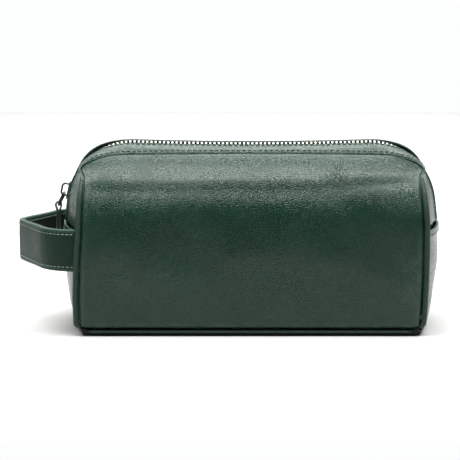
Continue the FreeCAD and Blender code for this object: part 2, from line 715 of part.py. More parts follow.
def make_ring():
    # a wire ring with straight ends; drawn upright about its own centre, then hung on the bridge
    body = new_body("pull_ring")
    half = "(Sizes.ring_length / 2)"
    side = "(Sizes.ring_width / 2)"
    corner = "Sizes.ring_corner"
    soft = 1 - math.sqrt(0.5)
    path = new_sketch(body, "ring_path", "YZ_Plane")
    steps = []
    # once round from the middle of one side: each corner's middle point, its end, then a run
    for turn_across, turn_up, upright in (("-", "", True), ("", "", False),
                                          ("", "-", True), ("-", "-", False)):
        begin = (f"{turn_across}{side}", f"{turn_up}({half} - {corner})")
        middle = (f"{turn_across}({side} - {soft} * {corner})",
                  f"{turn_up}({half} - {soft} * {corner})")
        end = (f"{turn_across}({side} - {corner})", f"{turn_up}{half}")
        if not upright:
            begin, end = end, begin
        steps += [(begin,), (middle, end)]
    draw_path(path, (f"-{side}", "0"), steps + [((f"-{side}", "0"),)])
    wire = new_sketch(body, "ring_round", "XY_Plane")
    draw_circle(wire, "0", f"-{side}", "Sizes.ring_wire_radius")
    sweep = body.newObject("PartDesign::AdditivePipe", "ring_sweep")
    sweep.Profile = wire
    sweep.Spine = path
    foot_across, foot_up = ring_foot()
    hang = value("Sizes.ring_hang_angle")
    reach = value("Sizes.ring_length / 2")
    slant = math.radians(hang)
    centre = FreeCAD.Vector(foot_across + reach * math.sin(slant), 0,
                            foot_up + reach * math.cos(slant))
    tilt = FreeCAD.Rotation(FreeCAD.Vector(0, 1, 0), hang)
    twist = FreeCAD.Rotation(FreeCAD.Vector(0, 0, 1), value("Sizes.ring_twist"))
    body.Placement = FreeCAD.Placement(centre, tilt.multiply(twist))
    return body


def make_pull_tab():
    # a strip of leather folded round the ring, its two layers sewn flat together below
    body = new_body("pull_tab")
    loop = "Sizes.tab_loop_radius"
    half = "(Sizes.tab_thickness / 2)"
    neck = "(2 * Sizes.tab_loop_radius)"
    low = f"({loop} - Sizes.tab_length)"
    fold = new_sketch(body, "tab_fold", "XZ_Plane")
    draw_path(fold, (f"-{half}", f"-{neck}"), [
        ((f"-{loop}", "0"),),
        (("0", loop), (loop, "0")),
        ((half, f"-{neck}"),),
        ((f"-{half}", f"-{neck}"),),
    ])
    draw_circle(fold, "0", "0", "Sizes.tab_loop_radius - Sizes.tab_wall")
    pad(body, fold, "Sizes.tab_loop_width", symmetric=True)
    strip = new_sketch(body, "tab_strip", "XZ_Plane")
    draw_path(strip, (f"-{half}", low), [
        ((f"-{half}", f"-{neck}"),),
        ((half, f"-{neck}"),),
        ((half, low),),
        ((f"-{half}", low),),
    ])
    pad(body, strip, "Sizes.tab_width", symmetric=True)
    across, up = ring_foot()
    body.Placement = FreeCAD.Placement(FreeCAD.Vector(across, 0, up), FreeCAD.Rotation())
    return body


def make_strap(name, out, thickness):
    # half of the strap swept from the outermost point back to the bag's side, then mirrored
    body = new_body(name)
    apex = f"-(Sizes.handle_reach - {out})"
    bend = f"(Sizes.handle_apex_radius - {out})"
    root = f"(Sizes.handle_root_radius - {out})"
    side = f"-({HALF_DEPTH} - Sizes.handle_seam_inset - {out})"
    end = "-(Sizes.panel_half_width + Sizes.anchor_length + Sizes.handle_flex_gap)"
    path = new_sketch(body, f"{name}_path", "XY_Plane")
    reach, radius, arm = value(apex), value(bend), value(root)
    stop = FreeCAD.Vector(value(end), value(side), 0)
    first_centre = FreeCAD.Vector(reach + radius, 0, 0)
    last_centre = FreeCAD.Vector(stop.x, stop.y + arm, 0)
    gap = last_centre - first_centre
    # the straight run is the inner tangent of the two arcs' circles
    lean = math.atan2(gap.y, gap.x)
    swing = math.acos((radius - arm) / gap.Length)
    angle = lean - swing if math.sin(lean - swing) < 0 else lean + swing
    normal = FreeCAD.Vector(math.cos(angle), math.sin(angle), 0)
    start = FreeCAD.Vector(reach, 0, 0)
    leave = first_centre + normal * radius
    land = last_centre + normal * arm
    first = sketch_arc(path, first_centre, radius, start, leave)
    run = path.addGeometry(Part.LineSegment(leave, land), False)
    last = sketch_arc(path, last_centre, arm, land, stop)
    path.addConstraint(Sketcher.Constraint("Tangent", first, 2, run, 1))
    path.addConstraint(Sketcher.Constraint("Tangent", run, 2, last, 1))
    for index, number, text in ((first, radius, bend), (last, arm, root)):
        held = path.addConstraint(Sketcher.Constraint("Radius", index, number))
        path.setExpression(f"Constraints[{held}]", text)
    path.addConstraint(Sketcher.Constraint("PointOnObject", first, 3, -1))
    pin(path, first, 1, apex, "0")
    pin(path, last, 2, end, side)
    path.addConstraint(Sketcher.Constraint("Vertical", last, 2, last, 3))
    section = new_sketch(body, f"{name}_section", "XZ_Plane")
    low = "Sizes.handle_bottom"
    high = "(Sizes.handle_bottom + Sizes.handle_width)"
    inner = f"({apex} + {thickness})"
    draw_path(section, (apex, low), [
        ((inner, low),), ((inner, high),), ((apex, high),), ((apex, low),)])
    half = body.newObject("PartDesign::AdditivePipe", f"{name}_sweep")
    half.Profile = section
    half.Spine = path
    document.recompute()
    whole = body.newObject("PartDesign::Mirrored", f"{name}_mirror")
    whole.Originals = [half]
    whole.MirrorPlane = (origin_plane(body, "XZ_Plane"), [""])
    body.Tip = whole
    return body


def sketch_arc(sketch, centre, radius, start, finish):
    # an arc that runs anticlockwise from start to finish
    circle = Part.Circle(centre, FreeCAD.Vector(0, 0, 1), radius)
    first = math.atan2(start.y - centre.y, start.x - centre.x)
    last = math.atan2(finish.y - centre.y, finish.x - centre.x)
    if last < first:
        last += 2 * math.pi
    return sketch.addGeometry(Part.ArcOfCircle(circle, first, last), False)


def make_anchor(side, outer, piping):
    # the sewn-in end of the strap, where it comes out of the upright seam
    name = f"handle_anchor_{side}"
    sign = "-" if side == "front" else ""
    near = f"({HALF_DEPTH} - Sizes.handle_seam_inset)"
    total = "(Sizes.handle_outer_layer + Sizes.handle_inner_layer)"
    y_low, y_high = (f"-{near}", f"-({near} - {total})") if sign else (f"{near} - {total}", near)
    end = block(f"{name}_block",
                ("-(Sizes.panel_half_width + Sizes.anchor_length)", "-Sizes.panel_half_width"),
                (y_low, y_high),
                ("Sizes.handle_bottom", "Sizes.handle_bottom + Sizes.handle_width"))
    return cut(name, cut(f"{name}_on_leather", end, outer), piping)


def check_document():
    for item in document.Objects:
        if "Invalid" in item.State or "Error" in item.State:
            raise RuntimeError(f"{item.Name} failed: {item.State}")


def write_parts(parts):
    os.makedirs("parts", exist_ok=True)
    for part in parts:
        shape = part.Shape
        if shape.isNull() or not shape.isValid() or not shape.Solids:
            raise RuntimeError(f"{part.Label} has no valid solid")
        print(f"{part.Label}: {len(shape.Solids)} solid, {shape.Volume:.1f} mm3")
    for part in parts:
        part.Shape.exportStep(f"parts/{part.Label}.step")


def main():
    fill_sheet()
    leather = "Sizes.leather_thickness"
    board_top = "(Sizes.leather_thickness + Sizes.board_thickness)"
    layers = "(Sizes.leather_thickness + Sizes.lining_thickness)"
    pocket = f"({layers} + Sizes.pocket_thickness)"
    outer = bag_form("outer_form", "0", "0")
    room = bag_form("leather_inside", leather, leather)
    lining_room = bag_form("lining_inside", layers, f"({board_top} + Sizes.lining_thickness)")
    pocket_room = bag_form("pocket_inside", pocket, f"({board_top} + Sizes.lining_thickness)")
    shell = cut("leather_shell", outer, room)
    lining_shell = cut("lining_shell", room, lining_room)
    pocket_shell = cut("pocket_shell", lining_room, pocket_room)
    parts = make_leather(shell)
    parts += make_inner_layers(room, lining_shell, pocket_shell, board_top)
    piping = {(side, end): make_piping(side, end, outer)
              for side in ("front", "rear") for end in ("left", "right")}
    parts += piping.values()
    parts += [make_welt("front", outer), make_welt("rear", outer)]
    parts += [make_teeth("zip_teeth_front", -1, 0), make_teeth("zip_teeth_rear", 1, 0.5)]
    parts += make_stops()
    parts += [make_slider(), make_ring(), make_pull_tab()]
    parts.append(make_strap("handle_outer_strap", "0", "Sizes.handle_outer_layer"))
    parts.append(make_strap("handle_inner_strap", "Sizes.handle_outer_layer",
                            "Sizes.handle_inner_layer"))
    parts += [make_anchor(side, outer, piping[side, "left"]) for side in ("front", "rear")]
    document.recompute()
    check_document()
    write_parts(parts)


main()
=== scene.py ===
import bisect
import math
from functools import partial
import bpy
from mathutils import Matrix, Vector, noise


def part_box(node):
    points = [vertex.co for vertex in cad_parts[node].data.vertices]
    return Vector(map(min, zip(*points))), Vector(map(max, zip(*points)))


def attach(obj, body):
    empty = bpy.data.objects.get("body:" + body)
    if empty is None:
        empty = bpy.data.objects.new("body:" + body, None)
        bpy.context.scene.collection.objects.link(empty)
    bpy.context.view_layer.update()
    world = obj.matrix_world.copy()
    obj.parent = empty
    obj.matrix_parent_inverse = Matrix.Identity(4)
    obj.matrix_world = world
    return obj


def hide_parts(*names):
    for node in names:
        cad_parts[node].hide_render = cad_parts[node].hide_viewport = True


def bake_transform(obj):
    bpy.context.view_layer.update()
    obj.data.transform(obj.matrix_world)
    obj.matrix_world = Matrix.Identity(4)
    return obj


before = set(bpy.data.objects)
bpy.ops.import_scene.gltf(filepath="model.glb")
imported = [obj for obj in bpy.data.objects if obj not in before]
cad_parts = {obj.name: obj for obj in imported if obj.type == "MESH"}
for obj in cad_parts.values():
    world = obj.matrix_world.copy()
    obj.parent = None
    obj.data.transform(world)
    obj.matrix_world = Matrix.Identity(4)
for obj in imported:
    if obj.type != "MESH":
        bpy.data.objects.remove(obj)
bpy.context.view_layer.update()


def mm(number):
    return number / 1000


def smooth(low, high, number):
    t = min(1.0, max(0.0, (number - low) / (high - low)))
    return t * t * (3 - 2 * t)


def blendValues(low, high, t):
    return low + (high - low) * t


def clearSelection():
    if bpy.context.object and bpy.context.object.mode != "OBJECT":
        bpy.ops.object.mode_set(mode="OBJECT")
    bpy.ops.object.select_all(action="DESELECT")


def choose(piece):
    clearSelection()
    piece.select_set(True)
    bpy.context.view_layer.objects.active = piece


# ---- colours and materials

def hexColour(text):
    channels = [int(text[i:i + 2], 16) / 255 for i in (0, 2, 4)]
    linear = [c / 12.92 if c <= 0.04045 else ((c + 0.055) / 1.055) ** 2.4 for c in channels]
    return (*linear, 1.0)


def addNode(material, kind, settings=None, values=None, links=None):
    # settings are the node's own options, values its sockets, links (socket, (node, output))
    node = material.node_tree.nodes.new(kind)
    for key, setting in (settings or {}).items():
        setattr(node, key, setting)
    for key, number in (values or {}).items():
        node.inputs[key].default_value = number
    for key, (source, output) in (links or {}).items():
        material.node_tree.links.new(source.outputs[output], node.inputs[key])
    return node


def newMaterial(name):
    material = bpy.data.materials.new(name)
    material.use_nodes = True
    material.node_tree.nodes.clear()
    return material


def finishMaterial(material, values, links):
    shader = addNode(material, "ShaderNodeBsdfPrincipled", values=values, links=links)
    addNode(material, "ShaderNodeOutputMaterial", links={"Surface": (shader, "BSDF")})
    return material


def ramp(material, source, output, stops):
    node = addNode(material, "ShaderNodeValToRGB", links={"Fac": (source, output)})
    bar = node.color_ramp.elements
    bar[0].position, bar[0].color = stops[0]
    bar[1].position, bar[1].color = stops[-1]
    for position, colour in stops[1:-1]:
        bar.new(position).color = colour
    return node


def twoTone(material, source, output, look, low, high):
    stops = [(low, hexColour(look["dark"])), (high, hexColour(look["pale"]))]
    return ramp(material, source, output, stops)


def pattern(material, place, kind, values, settings=None):
    return addNode(material, kind, settings, values, {"Vector": (place, "Object")})


def bump(material, strength, distance, links):
    values = {"Strength": strength, "Distance": mm(distance)}
    return addNode(material, "ShaderNodeBump", values=values, links=links)


def greenLeather(name, look):
    # Vegetable tanned calf, drum dyed bottle green and glazed: a fine pebble grain under a thin
    # waxy top coat, paler where it is creased or rubbed.
    material = newMaterial(name)
    place = addNode(material, "ShaderNodeTexCoord")
    cloud = pattern(material, place, "ShaderNodeTexNoise",
                    {"Scale": 1 / mm(look["cloud"]), "Detail": 4.0, "Roughness": 0.55})
    dye = twoTone(material, cloud, "Fac", look, 0.32, 0.68)
    rubbed = addNode(material, "ShaderNodeAttribute", settings={"attribute_name": "rub"})
    tone = addNode(material, "ShaderNodeMix", settings={"data_type": "RGBA"},
                   values={"B": hexColour(look["rubbed"])},
                   links={"Factor": (rubbed, "Fac"), "A": (dye, "Color")})
    pebble = pattern(material, place, "ShaderNodeTexVoronoi",
                     {"Scale": 1 / mm(look["grain"]), "Randomness": 1.0}, {"feature": "DISTANCE_TO_EDGE"})
    fold = ramp(material, pebble, "Distance", [(0.0, (0, 0, 0, 1)), (0.16, (1, 1, 1, 1))])
    pores = pattern(material, place, "ShaderNodeTexNoise",
                    {"Scale": 1 / mm(look["grain"] * 0.35), "Detail": 3.0})
    fine = bump(material, look["poreDepth"], 0.09, {"Height": (pores, "Fac")})
    grain = bump(material, look["grainDepth"], 0.14,
                 {"Height": (fold, "Color"), "Normal": (fine, "Normal")})
    # fine creases: thin wandering lines, drawn out along the fold, where the piece is wrinkled
    turned = addNode(material, "ShaderNodeMapping",
                     values={"Rotation": (0.0, math.radians(22), 0.0),
                             "Scale": (1 / mm(4.5), 1 / mm(12), 1 / mm(22))},
                     links={"Vector": (place, "Object")})
    wander = addNode(material, "ShaderNodeTexNoise",
                     values={"Scale": 1.0, "Detail": 1.5, "Distortion": 0.4},
                     links={"Vector": (turned, "Vector")})
    levels = addNode(material, "ShaderNodeMath", settings={"operation": "PINGPONG"},
                     values={1: 0.08}, links={0: (wander, "Fac")})
    lines = ramp(material, levels, "Value", [(0.0, (0, 0, 0, 1)), (0.011, (0.6, 0.6, 0.6, 1)),
                                             (0.026, (1, 1, 1, 1))])
    where = addNode(material, "ShaderNodeAttribute", settings={"attribute_name": "wrinkle"})
    creased = addNode(material, "ShaderNodeBump", values={"Distance": mm(0.5)},
                      links={"Height": (lines, "Color"), "Strength": (where, "Fac"),
                             "Normal": (grain, "Normal")})
    drape = pattern(material, place, "ShaderNodeTexNoise",
                    {"Scale": 1 / mm(look["ripple"]), "Detail": 5.0, "Roughness": 0.6})
    rippled = bump(material, look["rippleDepth"], 1.0,
                   {"Height": (drape, "Fac"), "Normal": (creased, "Normal")})
    shine = addNode(material, "ShaderNodeMapRange",
                    values={"From Min": 0.3, "From Max": 0.7, "To Min": look["gloss"] - 0.05,
                            "To Max": look["gloss"] + 0.07},
                    links={"Value": (drape, "Fac")})
    return finishMaterial(
        material,
        {"IOR": 1.5, "Specular IOR Level": look["specular"], "Coat Weight": look["coat"],
         "Coat Roughness": look["coatRoughness"], "Coat IOR": 1.45},
        {"Base Color": (tone, "Result"), "Roughness": (shine, "Result"), "Normal": (rippled, "Normal")})


waveScale = 0.157                 # a wave texture of this scale has one band per unit of length


def wovenCloth(name, look):
    # Plain woven polyester: crossed threads seen as a fine check of over and under.
    material = newMaterial(name)
    place = addNode(material, "ShaderNodeTexCoord")
    across, along = (pattern(material, place, "ShaderNodeTexWave",
                             {"Scale": waveScale / mm(look["thread"]), "Distortion": 0.4},
                             {"wave_type": "BANDS", "bands_direction": way}) for way in ("X", "Z"))
    weave = addNode(material, "ShaderNodeMath", settings={"operation": "MULTIPLY"},
                    links={0: (across, "Fac"), 1: (along, "Fac")})
    shade = twoTone(material, weave, "Value", look, 0.1, 0.8)
    raised = bump(material, 0.6, 0.12, {"Height": (weave, "Value")})
    return finishMaterial(
        material, {"Roughness": 0.82, "IOR": 1.5, "Sheen Weight": 0.25, "Sheen Roughness": 0.5},
        {"Base Color": (shade, "Color"), "Normal": (raised, "Normal")})


def platedMetal(name, look):
    # Die cast or stamped metal with a thin plated skin: bright, with fine tumbling marks.
    material = newMaterial(name)
    place = addNode(material, "ShaderNodeTexCoord")
    marks = pattern(material, place, "ShaderNodeTexNoise",
                    {"Scale": 1 / mm(look["mark"]), "Detail": 4.0, "Roughness": 0.7})
    tint = twoTone(material, marks, "Fac", look, 0.35, 0.65)
    polish = addNode(material, "ShaderNodeMapRange",
                     values={"From Min": 0.3, "From Max": 0.7, "To Min": look["rough"] - 0.06,
                             "To Max": look["rough"] + 0.08},
                     links={"Value": (marks, "Fac")})
    scratched = bump(material, 0.15, 0.03, {"Height": (marks, "Fac")})
    return finishMaterial(material, {"Metallic": 1.0},
                          {"Base Color": (tint, "Color"), "Roughness": (polish, "Result"),
                           "Normal": (scratched, "Normal")})


def waxedThread(name, look):
    # Twisted polyester thread, waxed: a soft gloss over slanted plies.
    material = newMaterial(name)
    place = addNode(material, "ShaderNodeTexCoord")
    ply = pattern(material, place, "ShaderNodeTexWave", {"Scale": waveScale / mm(look["ply"])},
                  {"wave_type": "BANDS", "bands_direction": "DIAGONAL"})
    tone = twoTone(material, ply, "Fac", look, 0.2, 0.8)
    raised = bump(material, 0.5, 0.08, {"Height": (ply, "Fac")})
    return finishMaterial(material, {"Roughness": 0.55, "IOR": 1.5},
                          {"Base Color": (tone, "Color"), "Normal": (raised, "Normal")})


# lengths of the patterns in millimetres; depths are bump strengths
bodyLook = {"dark": "0F3023", "pale": "15382A", "rubbed": "4C6A5B", "cloud": 26, "grain": 1.3,
            "grainDepth": 0.75, "poreDepth": 0.6, "ripple": 24, "rippleDepth": 0.10, "gloss": 0.25,
            "specular": 0.42, "coat": 0.06, "coatRoughness": 0.2}
bodyLeather = greenLeather("glazedGreenCalf", bodyLook)
pipingLeather = greenLeather("pipingGreenCalf", {**bodyLook, "grain": 0.6, "rippleDepth": 0.05,
                                                 "dark": "0F2E22", "pale": "163829",
                                                 "gloss": 0.42, "coat": 0.05})
# painted shade: the strap's leather is a darker copy of the body leather, dimmed to stand in for the shade
# the strap sits in
strapLeatherPaintedShade = greenLeather("strapGreenCalfPaintedShade", {**bodyLook, "rippleDepth": 0.08, "gloss": 0.46,
                                               "dark": "0B271C", "pale": "0F3023", "coat": 0.03,
                                               "specular": 0.22})
# painted shade: the base is a near black copy of the body leather, standing in for the shade under the bag
baseLeatherPaintedShade = greenLeather("baseGreenCalfPaintedShade", {**bodyLook, "dark": "040D08", "pale": "07170F",
                                             "gloss": 0.55, "coat": 0.0, "specular": 0.2})
darkLining = greenLeather("strapBackSplit", {**bodyLook, "dark": "0A140F", "pale": "101D17",
                                             "gloss": 0.6, "coat": 0.0, "grainDepth": 0.4})
liningCloth = wovenCloth("polyesterLining", {"thread": 0.35, "dark": "16191A", "pale": "2B3031"})
tapeCloth = wovenCloth("zipTapeTwill", {"thread": 0.45, "dark": "0B120F", "pale": "1B2620"})
nickel = platedMetal("nickelPlatedTeeth", {"mark": 0.5, "dark": "6F726E", "pale": "A9ABA5", "rough": 0.32})
gunmetal = platedMetal("gunmetalPlate", {"mark": 0.8, "dark": "2F3A35", "pale": "5E6B64", "rough": 0.3})
thread = waxedThread("paleGreenThread", {"ply": 0.3, "dark": "5E7A6B", "pale": "9DB2A4"})
darkThread = waxedThread("greenThread", {"ply": 0.3, "dark": "1C3B2E", "pale": "37574A"})
fibreBoard = wovenCloth("greyFibreBoard", {"thread": 1.2, "dark": "4A4740", "pale": "67635A"})
print("materials made")

# ---- the bag's shape, shared by its panels, seams and stitching

bag = {
    "halfDepth": 51.5, "footDepth": 49.6, "footHeight": 4.3, "shoulderHeight": 71.0,
    "faceMiddleDepth": 51.75, "seamDepth": 20.0, "seamHeight": 116.2, "shoulderBulge": 8.0,
    "topFall": 1.7, "bottomCorner": 4.0,
    # half the width, and how far the soft bag leans sideways, at lengths up from the bottom seam
    "widths": [(0, 110.4), (20, 111.0), (38, 110.9), (68, 109.9), (92, 108.6), (103, 109.2), (109, 111.6),
               (130, 112.0)],
    "leans": [(0, -1.3), (20, -1.0), (38, -0.5), (68, 0.4), (92, 0.1), (130, 0.0)],
    "cornerUp": 16.0, "cornerAcross": 31.0, "edgeDepth": 5.4, "edgeHeight": 121.3, "cornerOffset": 78.5,
    "cornerRadius": 42.5, "endSlope": 83.0, "dipSlope": 1.9, "hemHeight": 68.5,
}


def arcThrough(a, b, c):
    # centre, radius, first angle and turn of the circle through three points
    d = 2 * (a[0] * (b[1] - c[1]) + b[0] * (c[1] - a[1]) + c[0] * (a[1] - b[1]))
    sq = [p[0] ** 2 + p[1] ** 2 for p in (a, b, c)]
    x = (sq[0] * (b[1] - c[1]) + sq[1] * (c[1] - a[1]) + sq[2] * (a[1] - b[1])) / d
    y = (sq[0] * (c[0] - b[0]) + sq[1] * (a[0] - c[0]) + sq[2] * (b[0] - a[0])) / d
    first = math.atan2(a[1] - y, a[0] - x)
    turn = math.atan2(c[1] - y, c[0] - x) - first
    turn = (turn + math.pi) % (2 * math.pi) - math.pi
    return (x, y), math.hypot(a[0] - x, a[1] - y), first, turn


def arcPoint(arc, t):
    (x, y), radius, first, turn = arc
    angle = first + turn * t
    return x + radius * math.cos(angle), y + radius * math.sin(angle)


run = bag["halfDepth"] - bag["seamDepth"]
rise = bag["seamHeight"] - bag["shoulderHeight"]
span = math.hypot(run, rise)
faceArc = arcThrough((bag["footDepth"], bag["footHeight"]),
                     (bag["faceMiddleDepth"], (bag["footHeight"] + bag["shoulderHeight"]) / 2),
                     (bag["halfDepth"], bag["shoulderHeight"]))
shoulderArc = arcThrough(
    (bag["halfDepth"], bag["shoulderHeight"]),
    ((bag["halfDepth"] + bag["seamDepth"]) / 2 + bag["shoulderBulge"] * rise / span,
     (bag["shoulderHeight"] + bag["seamHeight"]) / 2 + bag["shoulderBulge"] * run / span),
    (bag["seamDepth"], bag["seamHeight"]))
faceLength = abs(faceArc[3]) * faceArc[1]
shoulderLength = abs(shoulderArc[3]) * shoulderArc[1]
profileLength = faceLength + shoulderLength
softJoin = 14.0                   # the face turns into the shoulder over this much


def profilePoint(length):
    # depth and height on the cross section, at this length up from the bottom seam
    if length < faceLength:
        return arcPoint(faceArc, length / faceLength)
    return arcPoint(shoulderArc, (length - faceLength) / shoulderLength)


def profileNormal(length):
    a = profilePoint(max(0.0, length - softJoin / 2))
    b = profilePoint(min(profileLength, length + softJoin / 2))
    size = math.hypot(b[0] - a[0], b[1] - a[1])
    return (b[1] - a[1]) / size, (a[0] - b[0]) / size


def lengthAtHeight(height):
    low, high = 0.0, profileLength
    for _ in range(30):
        middle = (low + high) / 2
        if profilePoint(middle)[1] < height:
            low = middle
        else:
            high = middle
    return low


def alongTable(table, number):
    # a soft curve through (place, value) pairs
    for (a, low), (b, high) in zip(table, table[1:]):
        if number <= b:
            return blendValues(low, high, smooth(a, b, number) * 0.5 + (number - a) / (b - a) * 0.5)
    return table[-1][1]


def outlineHalfWidth(length, top):
    # half the panel's width at a length up the profile, with its rounded corners
    width = alongTable(bag["widths"], length)
    foot, corner = bag["bottomCorner"], bag["cornerUp"]
    if length < foot:
        width -= foot - math.sqrt(max(0.0, foot ** 2 - (foot - length) ** 2))
    above = length - (top - corner)
    if above > 0:
        width -= bag["cornerAcross"] * (1 - math.sqrt(max(0.0, 1 - (above / corner) ** 2)))
    return width


def topLength(x):
    # length up to the top seam, which falls a little towards its ends
    return profileLength - bag["topFall"] * min(1.0, (x / 95) ** 2)


creases = [
    # where (x, length up), how large, which way the folds run, their spacing and depth
    {"at": (54, 104), "size": (15, 13), "angle": 78, "spacing": 4.2, "depth": 0.16},
    {"at": (99, 86), "size": (9, 9), "angle": 20, "spacing": 3.6, "depth": 0.16},
    {"at": (101, 34), "size": (9, 17), "angle": -58, "spacing": 5.5, "depth": 0.20},
    {"at": (-98, 96), "size": (10, 12), "angle": -70, "spacing": 4.6, "depth": 0.12},
    {"at": (12, 112), "size": (40, 8), "angle": 88, "spacing": 6.5, "depth": 0.07},
    {"at": (-60, 40), "size": (28, 22), "angle": 35, "spacing": 11.0, "depth": 0.07},
]


wrinkles = [
    # patches of fine creases: where (x, length up), size, turn and strength
    {"at": (55, 107), "size": (13, 9), "turn": 75, "depth": 1.0},
    {"at": (72, 100), "size": (18, 6), "turn": 25, "depth": 0.55},
    {"at": (98, 92), "size": (9, 7), "turn": -40, "depth": 0.8},
    {"at": (96, 34), "size": (17, 8), "turn": 60, "depth": 0.8},
    {"at": (70, 84), "size": (26, 8), "turn": 20, "depth": 0.35},
    {"at": (-66, 52), "size": (22, 5), "turn": -25, "depth": 0.3},
    {"at": (-92, 88), "size": (14, 10), "turn": 30, "depth": 0.35},
]


def turnedBy(dx, dy, degrees):
    # the same offset, measured along and across a line turned by so many degrees
    turn = math.radians(degrees)
    return dx * math.cos(turn) + dy * math.sin(turn), dy * math.cos(turn) - dx * math.sin(turn)


def creaseDepth(x, up, side):
    total = 0.0
    for fold in creases:
        dx, dy = x * -side - fold["at"][0], up - fold["at"][1]
        near = math.exp(-(dx / fold["size"][0]) ** 2 - (dy / fold["size"][1]) ** 2)
        if near < 0.01:
            continue
        along, across = turnedBy(dx, dy, fold["angle"])
        wander = noise.noise(Vector((across / 9, along / 14, fold["at"][0]))) * 2.2
        wave = math.sin(2 * math.pi * across / fold["spacing"] + wander * 2)
        total += fold["depth"] * near * (abs(wave) ** 0.6 * 2 - 1) * (0.6 + 0.4 * wander)
    return total


shoulder = {
    # the long crease: its length up, how far it rises at the right, and how much it wanders
    "creaseUp": 91.0, "creaseRise": 6.0, "creaseWander": 1.2,
    # the crease and the swells above and below it: (above the crease, half width, height)
    "waves": [(0.0, 3.6, -0.5), (8.0, 4.5, 0.35), (-9.0, 5.5, 0.14)],
    "slowSwell": 0.9, "smallSwell": 0.22,
}
panelEdge = {"rollDepth": 1.0, "rollWidth": 0.7, "sagDepth": 0.6, "sagWidth": 7.0, "cornerFall": 1.6}


def softForm(x, up, side):
    # slow swells of soft leather, and the long crease along the shoulder
    swell = noise.noise(Vector((x / 46, up / 34, 3.1 * side))) * shoulder["slowSwell"]
    swell += noise.noise(Vector((x / 19, up / 15, 7.7 * side))) * shoulder["smallSwell"]
    line = shoulder["creaseUp"] + shoulder["creaseRise"] * smooth(30, 104, -side * x)
    line += shoulder["creaseWander"] * noise.noise(Vector((x / 40, 5.5, side)))
    for above, width, height in shoulder["waves"]:
        wave = height * math.exp(-((up - line - above) / width) ** 2)
        swell += wave * (1 - 0.3 * smooth(92, 110, abs(x))) if above == 0 else wave
    return swell


def panelPoint(u, v, side, inset=0.0, detail=True):
    # u runs from end to end, v up from the bottom seam to the top seam; side is -1 at the front
    x = u * outlineHalfWidth(v * profileLength, profileLength)
    top = topLength(x)
    up = v * top
    depth, height = profilePoint(up)
    outDepth, outHeight = profileNormal(up)
    edge = max(0.0, min(outlineHalfWidth(up, top) - abs(x), up, top - up))
    push = -panelEdge["rollDepth"] * math.exp(-(edge / panelEdge["rollWidth"]) ** 1.5) - inset
    push -= panelEdge["sagDepth"] * math.exp(-edge / panelEdge["sagWidth"])
    push -= panelEdge["cornerFall"] * smooth(84, 112, abs(x)) * smooth(80, 118, up)
    if detail:
        inner = smooth(0, 10, edge)
        push += softForm(x, up, side) * inner + creaseDepth(x, up, side) * smooth(0, 5, edge)
    x += alongTable(bag["leans"], up)
    return Vector((mm(x), mm(side * (depth + push * outDepth)), mm(height + push * outHeight)))


def panelWrinkle(u, v, side):
    # how strongly the fine creases show here
    x = u * outlineHalfWidth(v * profileLength, profileLength)
    up = v * profileLength
    total = 0.0
    for patch in wrinkles:
        along, across = turnedBy(-side * x - patch["at"][0], up - patch["at"][1], patch["turn"])
        near = math.exp(-(along / patch["size"][0]) ** 2 - (across / patch["size"][1]) ** 2)
        total = max(total, patch["depth"] * near)
    return min(1.0, total)


def panelRub(u, v, side):
    x = u * outlineHalfWidth(v * profileLength, profileLength)
    up = v * profileLength
    edge = max(0.0, min(outlineHalfWidth(up, profileLength) - abs(x), up, profileLength - up))
    worn = 0.25 * math.exp(-((edge - 2.6) / 1.4) ** 2)
    worn += 0.55 * max(0.0, creaseDepth(x, up, side)) / 0.2
    return min(0.6, worn * (0.6 + 0.8 * noise.noise(Vector((x / 7, up / 7, 1.0)))))


# ---- making pieces

def crowded(t, crowd):
    # moves grid lines towards both edges, where the leather rolls and folds
    return math.copysign(1 - (1 - min(1.0, abs(t))) ** crowd, t)


def applyModifier(piece, kind, settings):
    modifier = piece.modifiers.new(kind.lower(), kind)
    for key, setting in settings.items():
        setattr(modifier, key, setting)
    bpy.ops.object.modifier_apply(modifier=modifier.name)


def gridPiece(name, columns, rows, shape, rub=None, wall=1.5, centre=(0, 0, 0.055), wrinkle=None,
              crowd=(1.0, 1.0)):
    # a sheet from a plain grid, each point moved to its place, then given the leather's thickness
    clearSelection()
    bpy.ops.mesh.primitive_grid_add(x_subdivisions=columns, y_subdivisions=rows, size=2)
    piece = bpy.context.object
    piece.name = name
    mesh = piece.data
    mesh.name = name
    worn, creased = [], []
    for point in mesh.vertices:
        u, v = crowded(point.co.x, crowd[0]), (crowded(point.co.y, crowd[1]) + 1) / 2
        worn.append(max(0.0, rub(u, v)) if rub else 0.0)
        creased.append(wrinkle(u, v) if wrinkle else 0.12)
        point.co = shape(u, v)
    piece.location = (0, 0, 0)
    for title, numbers in (("rub", worn), ("wrinkle", creased)):
        layer = mesh.attributes.new(title, "FLOAT", "POINT")
        layer.data.foreach_set("value", numbers)
    mesh.update()
    middle = Vector(centre)
    facing = sum((face.center - middle).dot(face.normal) * face.area for face in mesh.polygons)
    if facing < 0:
        choose(piece)
        bpy.ops.object.mode_set(mode="EDIT")
        bpy.ops.mesh.select_all(action="SELECT")
        bpy.ops.mesh.flip_normals()
        bpy.ops.object.mode_set(mode="OBJECT")
    choose(piece)
    if wall:
        applyModifier(piece, "SOLIDIFY", {"thickness": mm(wall), "offset": -1, "use_even_offset": False})
    bpy.ops.object.shade_smooth()
    bpy.ops.object.shade_smooth_by_angle(angle=math.radians(50))
    return piece


def coat(piece, material):
    piece.data.materials.clear()
    piece.data.materials.append(material)


def settle(piece, body, material, nodes):
    coat(piece, material)
    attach(piece, body)
    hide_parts(*nodes)


